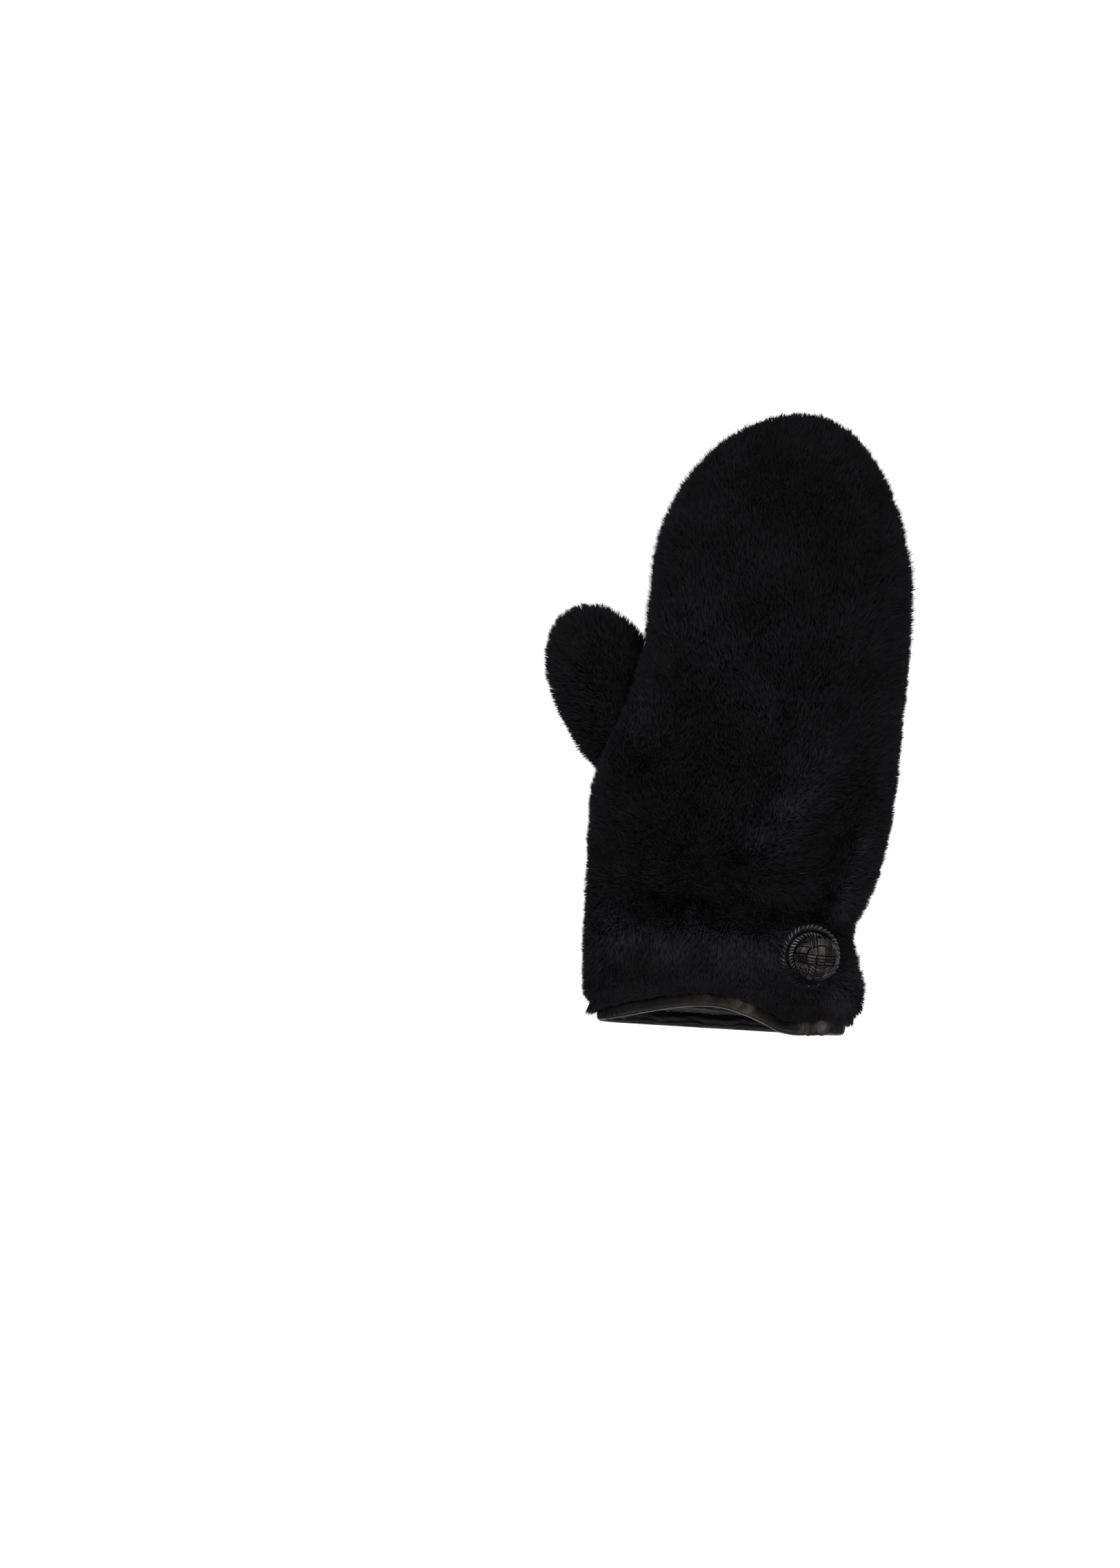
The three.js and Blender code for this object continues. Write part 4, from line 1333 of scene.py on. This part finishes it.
    def lay_out(self, mesh: bpy.types.Mesh, count: int, faces: Array) -> None:
        """Gives each tuft a square of its own on the piece's UV map."""
        side = math.ceil(math.sqrt(count))
        row, column = np.divmod(np.arange(count), side)
        corners = np.array([[0.15, 0.15], [0.85, 0.15], [0.5, 0.4], [0.5, 0.85]])
        places = (np.stack([column, row], axis=-1)[:, None] + corners[None]) / side
        layer = mesh.uv_layers.new(name="OFBake")
        layer.data.foreach_set("uv", places.reshape(-1, 2)[faces].reshape(-1).astype(np.float32))

    def build(self, wardrobe: Wardrobe) -> None:
        """Makes the pile in pieces by their place on the mitten."""
        roots = self.hand_roots()
        roots = self.clear_button(roots.keep(~self.mitten.thumb.holds(self.mitten.hand, roots.points)))
        roots = roots.join(self.collar_roots())
        under = roots.points[:, 2] < self.lies_below
        along = roots.points[:, 1]
        zones = (("cuff_pile", -99, 66), ("wrist_pile", 66, 122), ("knuckle_pile", 122, 182), ("finger_pile", 182, 999))
        for name, low, high in zones:
            self.tufts(name, roots.keep(~under & (along >= low) & (along < high)), wardrobe.fur)
        self.tufts("palm_pile", roots.keep(under), wardrobe.fur)
        self.tufts("hem_pile", self.hem_roots(), wardrobe.fur)
        self.tufts("thumb_pile", self.thumb_roots(), wardrobe.fur)
        self.tufts("guard_hairs", self.clear_button(self.guard_roots()), wardrobe.fur)


@dataclass
class Binding:
    """The leather binding round the cuff: the band, its turned edge with a painted highlight line, and the lap over its
    ends.
    """

    mitten: Mitten
    offset: Array
    steps: int = 420
    sides: int = 24
    edge_radius: float = 0.42

    def ring(self, angle: Array, turn: Array, margin: float = 0.0) -> Array:
        """Points of the band: a superellipse carried round the hem, with puckers across it and creases along it.

        Args:
            angle: round the cuff.
            turn: round the band's own section.
            margin: how far outside the band.
        Returns:
            An array of points.
        """
        cuff = self.mitten.cuff
        middle, outward, upward, _ = cuff.frame(self.mitten.hand, angle)

        def boxy(value: Array) -> Array:
            return np.sign(value) * np.abs(value) ** (2 / cuff.power)

        pucker = 0.1 * np.sin(angle * 47 + 2 * np.sin(angle * 9)) + 0.05 * np.sin(angle * 91 + turn)
        by_lap = bell(np.cos(angle) - cuff.lap_x * 2, 0.2) * (np.sin(angle) > 0)
        pucker = pucker * (1 + 1.2 * by_lap) + 0.42 * by_lap * np.sin(angle * 23 + 1.0)
        wave = np.sin(angle * 13) + 0.6 * np.sin(angle * 31 + 1)
        on_palm = smoothstep(-np.sin(angle), 0.0, 0.1)
        crease = on_palm * 0.34 * np.sin(turn * 7 + wave) + (1 - on_palm) * 0.05 * np.sin(turn * 3 + angle * 21)
        grow = margin + (pucker + crease) * 0.8
        thick = cuff.binding_thickness / 2 + grow
        wide = cuff.binding_width / 2 + grow * 0.5
        return middle + outward * (boxy(np.cos(turn)) * thick)[..., None] + upward * (boxy(np.sin(turn)) * wide)[..., None]

    def band(self) -> bpy.types.Object:
        """The band itself."""
        angle = np.linspace(0, TURN, self.steps + 1)[:, None]
        turn = np.linspace(0, TURN, self.sides + 1)[None, :]
        angle, turn = np.broadcast_arrays(angle, turn)
        surface = Surface()
        surface.add_grid(surface.add_points(self.ring(angle, turn), self.wear(angle, turn)))
        return surface.to_object("binding_band", self.offset, merge=0.001)

    def wear(self, angle: Array, turn: Array) -> Array:
        """How light the band is painted: on the back, painted light where the band faces up, faint stretches along it,
        and spots of painted highlight, the strongest right of the arch's middle and by the lap; on the palm's side, a
        little.
        """
        # Painted light: the side of the band that faces up is lighter
        faces_up = 0.5 + 0.5 * np.sin(turn + 0.9)
        stretch = 0.35 + 0.2 * np.sin(angle * 5 + 0.4) + 0.15 * np.sin(angle * 17)
        # Spots of painted highlight along the back
        highlight_spots = 0.22 * bell(np.cos(angle) + 0.1, 0.3) + bell(np.cos(angle) - 0.2, 0.09)
        highlight_spots = highlight_spots + 0.7 * bell(np.cos(angle) - 0.66, 0.05) + bell(np.cos(angle) - 0.83, 0.06)
        on_back = smoothstep(np.sin(angle), 0.0, 0.1)
        return np.clip(on_back * faces_up**2 * (stretch * 0.07 + highlight_spots * 0.9) + (1 - on_back) * 0.03, 0, 1)

    def edge(self) -> bpy.types.Object:
        """The turned edge: a thin cord of leather along the band's lower side, light-coloured as a painted highlight
        line.
        """
        cuff = self.mitten.cuff
        angle = np.linspace(0, TURN, self.steps + 1)[:, None]
        turn = np.linspace(0, TURN, 9)[None, :]
        angle, turn = np.broadcast_arrays(angle, turn)
        middle, outward, upward, _ = cuff.frame(self.mitten.hand, angle)
        wander = 0.12 * np.sin(angle * 17) + 0.06 * np.sin(angle * 43)
        centre = middle - upward * (cuff.binding_width / 2 - 0.05) + outward * (0.15 + wander)[..., None]
        round_it = outward * np.cos(turn)[..., None] + upward * np.sin(turn)[..., None]
        surface = Surface()
        surface.add_grid(surface.add_points(centre + round_it * self.edge_radius, 1.0))
        return surface.to_object("binding_edge", self.offset, merge=0.001)

    def lap(self) -> bpy.types.Object:
        """The lap: a short wrap over the band where its ends meet, open towards the fur."""
        cuff = self.mitten.cuff
        place = math.acos(cuff.lap_x * 2)
        _, _, _, pace = cuff.frame(self.mitten.hand, np.asarray(place))
        reach = cuff.lap_length / 2 / float(pace)
        share = np.linspace(-1, 1, 31)[:, None]
        turn = np.linspace(math.pi / 2 + 0.42, math.pi * 2.5 - 0.42, 41)[None, :]
        share, turn = np.broadcast_arrays(share, turn)
        angle = place + share * reach + 0.02 * np.cos(turn)
        rounded = cuff.lap_thickness * (1 - 0.55 * share**6)
        low = self.ring(angle, turn, cuff.sewn_gap)
        out = unit(self.ring(angle, turn, cuff.sewn_gap + 1) - low)
        surface = Surface()
        thick_sheet(surface, low + out * rounded[..., None], low, self.wear(angle, turn))
        return surface.to_object("binding_overlap", self.offset, merge=0.001)

    def build(self, wardrobe: Wardrobe) -> None:
        """Makes the binding's pieces."""
        dress(self.band(), wardrobe.binding, "binding_leather", "cuff_binding")
        dress(self.edge(), wardrobe.edge, "binding_leather")
        dress(self.lap(), wardrobe.binding, "binding_leather", "binding_lap")


@dataclass
class Lining:
    """The lining: a thin sock inside the fur with a branch for the thumb, drawn into wrinkles near the mouth."""

    mitten: Mitten
    offset: Array
    ripple: float = 0.9
    rows: tuple[int, int] = (84, 14)
    columns: int = 128

    def wrinkles(self, distance: Array, angle: Array) -> Array:
        """How far the wrinkles stand into the pocket: waves along the hand that wander round it."""
        near = 1 - smoothstep(distance, 25.0, 90.0)
        wander = 1.6 * np.sin(angle * 2 + 0.6) + 0.8 * np.sin(angle * 5 + 1.0)
        waves = 0.5 + 0.5 * np.sin(distance * 1.15 + wander) * np.cos(angle * 3 + distance * 0.05)
        return self.ripple * near * waves * smoothstep(distance, 0.0, 2.0)

    def build(self, wardrobe: Wardrobe) -> None:
        """Makes the sock, cuts its way into the thumb, and joins the thumb's branch to it."""
        hand, gap = self.mitten.hand, self.mitten.cuff.sewn_gap
        outer_inset = hand.wall + gap
        inner_inset = outer_inset + self.mitten.cuff.lining_wall
        angle = np.linspace(0, TURN, self.columns + 1)[None, :]
        outer = hand.points(hand.distances(outer_inset, *self.rows)[:, None], angle, outer_inset)
        distance = hand.distances(inner_inset, *self.rows)[:, None]
        inner = hand.points(distance, angle, inner_inset + self.wrinkles(distance, angle))
        surface = Surface()
        outside = surface.add_points(outer)
        inside = surface.add_points(inner)
        surface.add_grid(outside)
        surface.add_grid(inside, flip=True)
        surface.add_grid(np.stack([outside[0], inside[0]]), flip=True)
        sock = surface.to_object("lining_sock", self.offset, merge=0.001)
        branch = thumb_solid("thumb_branch", self.mitten, self.offset, outer_inset)
        cut_away(branch, thumb_solid("thumb_room", self.mitten, self.offset, inner_inset))
        cut_away(branch, hand_solid("hand_room", self.mitten, self.offset, outer_inset - 0.05))
        cut_away(sock, thumb_solid("thumb_room", self.mitten, self.offset, inner_inset))
        dress(sock, wardrobe.lining, "lining", "lining")
        dress(branch, wardrobe.lining, "lining")


class Strips(Enum):
    """What a square of the button's weave holds: how many strips, and the way that they run."""

    PAD = (1, 0.0)
    LYING = (3, 0.0)
    STANDING = (3, math.pi / 2)
    RISING = (3, math.pi * 0.3)
    FALLING = (3, -math.pi * 0.3)


# The weave's squares, a row for each line of squares from the fingers' side down to the cuff's
WEAVE = (
    ("RISING", "LYING", "STANDING", "STANDING", "STANDING", "LYING", "FALLING"),
    ("RISING", "PAD", "STANDING", "PAD", "STANDING", "PAD", "FALLING"),
    ("STANDING", "PAD", "PAD", "PAD", "PAD", "STANDING", "STANDING"),
    ("PAD", "PAD", "LYING", "LYING", "LYING", "PAD", "PAD"),
    ("FALLING", "PAD", "LYING", "LYING", "LYING", "RISING", "RISING"),
    ("FALLING", "FALLING", "LYING", "LYING", "RISING", "RISING", "RISING"),
    ("FALLING", "FALLING", "LYING", "STANDING", "LYING", "RISING", "RISING"),
)


@dataclass
class Button:
    """The button: a dome of woven leather strips in a corded, whip-stitched rim."""

    mitten: Mitten
    offset: Array
    cells: int = 210
    strip_rounding: float = 0.45
    strip_relief: float = 1.0
    stitches: int = 40
    seed: int = 5

    def place(self, points: Array) -> Array:
        """Points of the button's own frame in the mitten's."""
        matrix = np.array(self.mitten.button.matrix(self.mitten.hand))
        return points @ matrix[:3, :3].T + matrix[:3, 3]

    def weave(self, u: Array, v: Array) -> tuple[Array, Array]:
        """Relief and tone of the weave: each square holds one wide pad, or a few narrow strips side by side.

        A strip is flat on top with round shoulders, whose height is a quarter circle, also at the square's ends.

        Args:
            u: place across the square that is drawn over the dome, from -1 to 1.
            v: place along it.
        Returns:
            The relief, in millimetres, and a tone from 0 to 1 that is highest on the wide pads: painted highlight along
            the middle of each strip and pad, and painted shade in the gaps between them.
        """
        form = self.mitten.button
        bent = v + 0.06 * np.cos(u * math.pi / 2)
        squares = len(WEAVE)
        i = np.clip((u + 1) / 2 * squares, 0, squares - 1e-6)
        j = np.clip((1 - bent) / 2 * squares, 0, squares - 1e-6)
        kinds = np.array([[Strips[letter].value for letter in row] for row in WEAVE])
        kind = kinds[j.astype(int), i.astype(int)]
        a, b = (i % 1) * 2 - 1, (j % 1) * 2 - 1
        count, turn = kind[..., 0], kind[..., 1]
        square = form.width * math.pi / 2 / squares / 2
        across = np.clip(a * np.sin(turn) + b * np.cos(turn), -1, 1)
        strip = (across + 1) / 2 * count * 0.999
        strand = np.abs((strip % 1) * 2 - 1)
        from_side = (1 - strand) * square / count
        from_end = (1 - np.maximum(np.abs(a), np.abs(b))) * square

        def shoulder(away: Array) -> Array:
            return np.sqrt(1 - (1 - np.clip(away / self.strip_rounding, 0, 1)) ** 2)

        rounded = shoulder(from_side) * shoulder(from_end)
        wide = count < 1.5
        height = np.where(wide, 1.0, 0.8 - 0.12 * np.maximum(np.abs(a), np.abs(b)))
        # Painted highlight along each strip's middle and painted shade in the gaps between strips
        lit_strips_shaded_gaps = smoothstep(np.minimum(from_side, from_end), 0.2, 0.5)
        polish = np.random.default_rng(self.seed + 1).uniform(0.15, 1.0, (squares, squares, 3)) ** 1.3
        shade = polish[j.astype(int), i.astype(int), strip.astype(int)]
        return self.strip_relief * (rounded * height - 1), lit_strips_shaded_gaps * shade * np.where(wide, 0.7, 1.0)

    def dome(self) -> bpy.types.Object:
        """The dome: a square of the weave drawn over half a ball, and an underside that narrows to its foot."""
        form = self.mitten.button
        u, v = np.meshgrid(np.linspace(-1, 1, self.cells + 1), np.linspace(1, -1, self.cells + 1))
        reach = np.maximum(np.abs(u), np.abs(v)) * math.pi / 2
        relief, tone = self.weave(u, v)
        spread = (form.width / 2 + relief) * np.sin(reach) / np.maximum(np.hypot(u, v), 1e-9)
        high = form.widest_height + (form.height - form.widest_height + relief) * np.cos(reach)
        top = np.stack([u * spread, v * spread, high], axis=-1)
        edge = np.concatenate([top[0, :-1], top[:-1, -1], top[-1, :0:-1], top[:0:-1, 0], top[:1, 0]])
        down = np.linspace(0, 1, 9)[:, None, None]
        narrowing = np.sqrt(1 - down**form.underside_power)
        flat = edge * np.array([1.0, 1.0, 0.0])
        under = flat * narrowing + np.array([0.0, 0.0, 1.0]) * form.widest_height * (1 - down)
        surface = Surface()
        surface.add_grid(surface.add_points(self.place(top + form.dome_shift), tone))
        surface.add_grid(surface.add_points(self.place(under + form.dome_shift)))
        return surface.to_object("woven_dome", self.offset, merge=0.001)

    def rim_points(self, angle: Array, turn: Array, margin: float = 0.0) -> Array:
        """Points of the rim: a ring whose round section is laid in twisted strands."""
        form = self.mitten.button
        half = form.rim_thickness / 2
        strand = np.abs(np.sin(angle * self.stitches / 2 + turn)) ** 0.6
        thick = half * (0.86 + 0.14 * strand) + margin
        radius = form.rim_radius + thick * np.cos(turn)
        return np.stack([radius * np.cos(angle), radius * np.sin(angle), half + thick * np.sin(turn)], axis=-1)

    def rim(self) -> bpy.types.Object:
        """The corded rim."""
        angle = np.linspace(0, TURN, self.stitches * 14 + 1)[:, None]
        turn = np.linspace(0, TURN, 17)[None, :]
        angle, turn = np.broadcast_arrays(angle, turn)
        surface = Surface()
        surface.add_grid(surface.add_points(self.place(self.rim_points(angle, turn)), 0.5))
        return surface.to_object("corded_rim", self.offset, merge=0.001)

    def inner_points(self, angle: Array, turn: Array, margin: float = 0.0) -> Array:
        """Points of the inner cord: it fills the crescent between rim and dome, and thins where the dome leans."""
        form = self.mitten.button
        away = np.cos(angle - math.atan2(form.shift_y, form.shift_x))
        half = 1.15 - 0.55 * away
        strand = np.abs(np.sin(angle * self.stitches / 2 - turn)) ** 0.6
        thick = half * (0.86 + 0.14 * strand) + margin
        radius = form.rim_radius - form.rim_thickness / 2 - half + thick * np.cos(turn)
        high = form.rim_thickness / 2 - 0.2 + thick * np.sin(turn)
        return np.stack([radius * np.cos(angle), radius * np.sin(angle), high], axis=-1)

    def inner_cord(self) -> bpy.types.Object:
        """The inner cord."""
        angle = np.linspace(0, TURN, self.stitches * 10 + 1)[:, None]
        turn = np.linspace(0, TURN, 13)[None, :]
        angle, turn = np.broadcast_arrays(angle, turn)
        surface = Surface()
        surface.add_grid(surface.add_points(self.place(self.inner_points(angle, turn)), 0.4))
        return surface.to_object("inner_cord", self.offset, merge=0.001)

    def whip(self) -> bpy.types.Object:
        """The whip stitches: short slanting threads over the rim's outer side and over the inner cord."""
        surface = Surface()
        share = np.linspace(-1, 1, 9)[:, None]
        round_it = np.linspace(0, TURN, 7)[None, :]
        share, round_it = np.broadcast_arrays(share, round_it)
        chance = np.random.default_rng(self.seed)
        for points_of, first, reach, slant in (
            (self.rim_points, 0.9, 1.0, 0.07),
            (self.inner_points, 1.6, 0.9, -0.06),
        ):
            for k in range(self.stitches):
                centre = (k + chance.uniform(0.1, 0.4)) / self.stitches * TURN
                turn = first + share * reach * chance.uniform(0.75, 1.0)
                angle = centre + share * slant
                path = points_of(angle, turn, 0.1)
                out = unit(points_of(angle, turn, 1.0) - points_of(angle, turn, 0.0))
                side = np.stack([-np.sin(angle), np.cos(angle), 0 * angle], axis=-1)
                thick = 0.3 * np.sqrt(np.maximum(1 - share**4, 0))[..., None]
                points = path + (out * np.cos(round_it)[..., None] * 0.7 + side * np.sin(round_it)[..., None]) * thick
                surface.add_grid(surface.add_points(self.place(points), chance.uniform(0.3, 1.0)))
        return surface.to_object("rim_stitches", self.offset, merge=0.001)

    def build(self, wardrobe: Wardrobe) -> None:
        """Makes the button's pieces."""
        dress(self.dome(), wardrobe.woven, "button_leather", "button_dome")
        dress(self.rim(), wardrobe.cord, "button_cord", "button_rim")
        dress(self.inner_cord(), wardrobe.cord, "button_cord")
        dress(self.whip(), wardrobe.stitch, "button_cord")


@dataclass
class Studio:
    """A pale floor, soft light, and the camera at the photograph's angle."""

    image_size: tuple[int, int] = (1624, 2273)
    pixel: float = 0.309
    frame_middle: tuple[float, float, float] = (-68.77, -38.83, 20.0)
    elevation: float = 84.0
    image_lean: float = 6.0
    lens: float = 85.0
    sensor: float = 36.0

    def floor(self) -> None:
        """A plain pale floor under the mitten."""
        bpy.ops.mesh.primitive_plane_add(size=8, location=(0, 0, 0))
        floor = bpy.context.object
        floor.name = "pale_floor"
        material = bpy.data.materials.new("pale_floor")
        material.use_nodes = True
        surface = material.node_tree.nodes["Principled BSDF"]
        surface.inputs["Base Color"].default_value = (0.3, 0.3, 0.3, 1)
        surface.inputs["Roughness"].default_value = 0.9
        surface.inputs["Specular IOR Level"].default_value = 0.1
        surface.inputs["Emission Color"].default_value = (1, 1, 1, 1)
        surface.inputs["Emission Strength"].default_value = 0.9
        floor.data.materials.append(material)

    def softbox(self, name: str, place: tuple[float, float, float], size: tuple[float, float], watts: float) -> None:
        """A rectangular light that looks at the mitten."""
        light = bpy.data.lights.new(name, "AREA")
        light.shape = "RECTANGLE"
        light.size, light.size_y = size
        light.energy = watts
        lamp = bpy.data.objects.new(name, light)
        bpy.context.scene.collection.objects.link(lamp)
        lamp.location = place
        lamp.rotation_euler = (-Vector(place)).to_track_quat("-Z", "Y").to_euler()

    def lights(self) -> None:
        """White surroundings, a wide light above and a lower one from the thumb's side."""
        world = bpy.data.worlds.new("studio")
        world.use_nodes = True
        world.node_tree.nodes["Background"].inputs["Color"].default_value = (1, 1, 1, 1)
        world.node_tree.nodes["Background"].inputs["Strength"].default_value = 0.3
        bpy.context.scene.world = world
        self.softbox("front_light", (0.05, -1.25, 1.35), (1.1, 1.1), 41)
        self.softbox("side_light", (-1.1, 0.75, 0.95), (0.8, 0.8), 24)
        self.softbox("fill_light", (0.9, 0.8, 1.2), (0.9, 0.9), 22)

    def camera(self) -> None:
        """The camera above the mitten, a little towards its cuff, with the picture's lean."""
        lean = math.radians(self.image_lean)
        steep = math.radians(self.elevation)
        image_up = Vector((-math.sin(lean), math.cos(lean), 0))
        back = -image_up * math.cos(steep) + Vector((0, 0, math.sin(steep)))
        right = Vector((math.cos(lean), math.sin(lean), 0))
        distance = self.image_size[1] * self.pixel * self.lens / self.sensor * MM
        camera = bpy.data.cameras.new("camera")
        camera.sensor_fit = "VERTICAL"
        camera.sensor_height = self.sensor
        camera.lens = self.lens
        camera.clip_start = 0.01
        eye = bpy.data.objects.new("camera", camera)
        bpy.context.scene.collection.objects.link(eye)
        turned = Matrix((right, back.cross(right), back)).transposed()
        place = Vector(self.frame_middle) * MM + back * distance
        eye.matrix_world = Matrix.Translation(place) @ turned.to_4x4()
        bpy.context.scene.camera = eye

    def build(self) -> None:
        """Sets the stage. The picture shows light as it falls, so that white stays white and black stays black."""
        bpy.context.scene.view_settings.view_transform = "Standard"
        self.floor()
        self.lights()
        self.camera()


def main() -> None:
    """Loads the frame and builds every piece in order."""
    logging.basicConfig(level=logging.INFO, format="%(name)s: %(message)s")
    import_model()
    mitten = Mitten()
    offset = mitten.offset()
    log.info("offset to the packed frame: %s mm", np.round(offset, 3).tolist())
    wardrobe = Wardrobe()
    Studio().build()
    Skins(mitten, offset).build(wardrobe)
    Lining(mitten, offset).build(wardrobe)
    Binding(mitten, offset).build(wardrobe)
    Button(mitten, offset).build(wardrobe)
    Pile(mitten, offset).build(wardrobe)


if __name__ == "__main__":
    main()
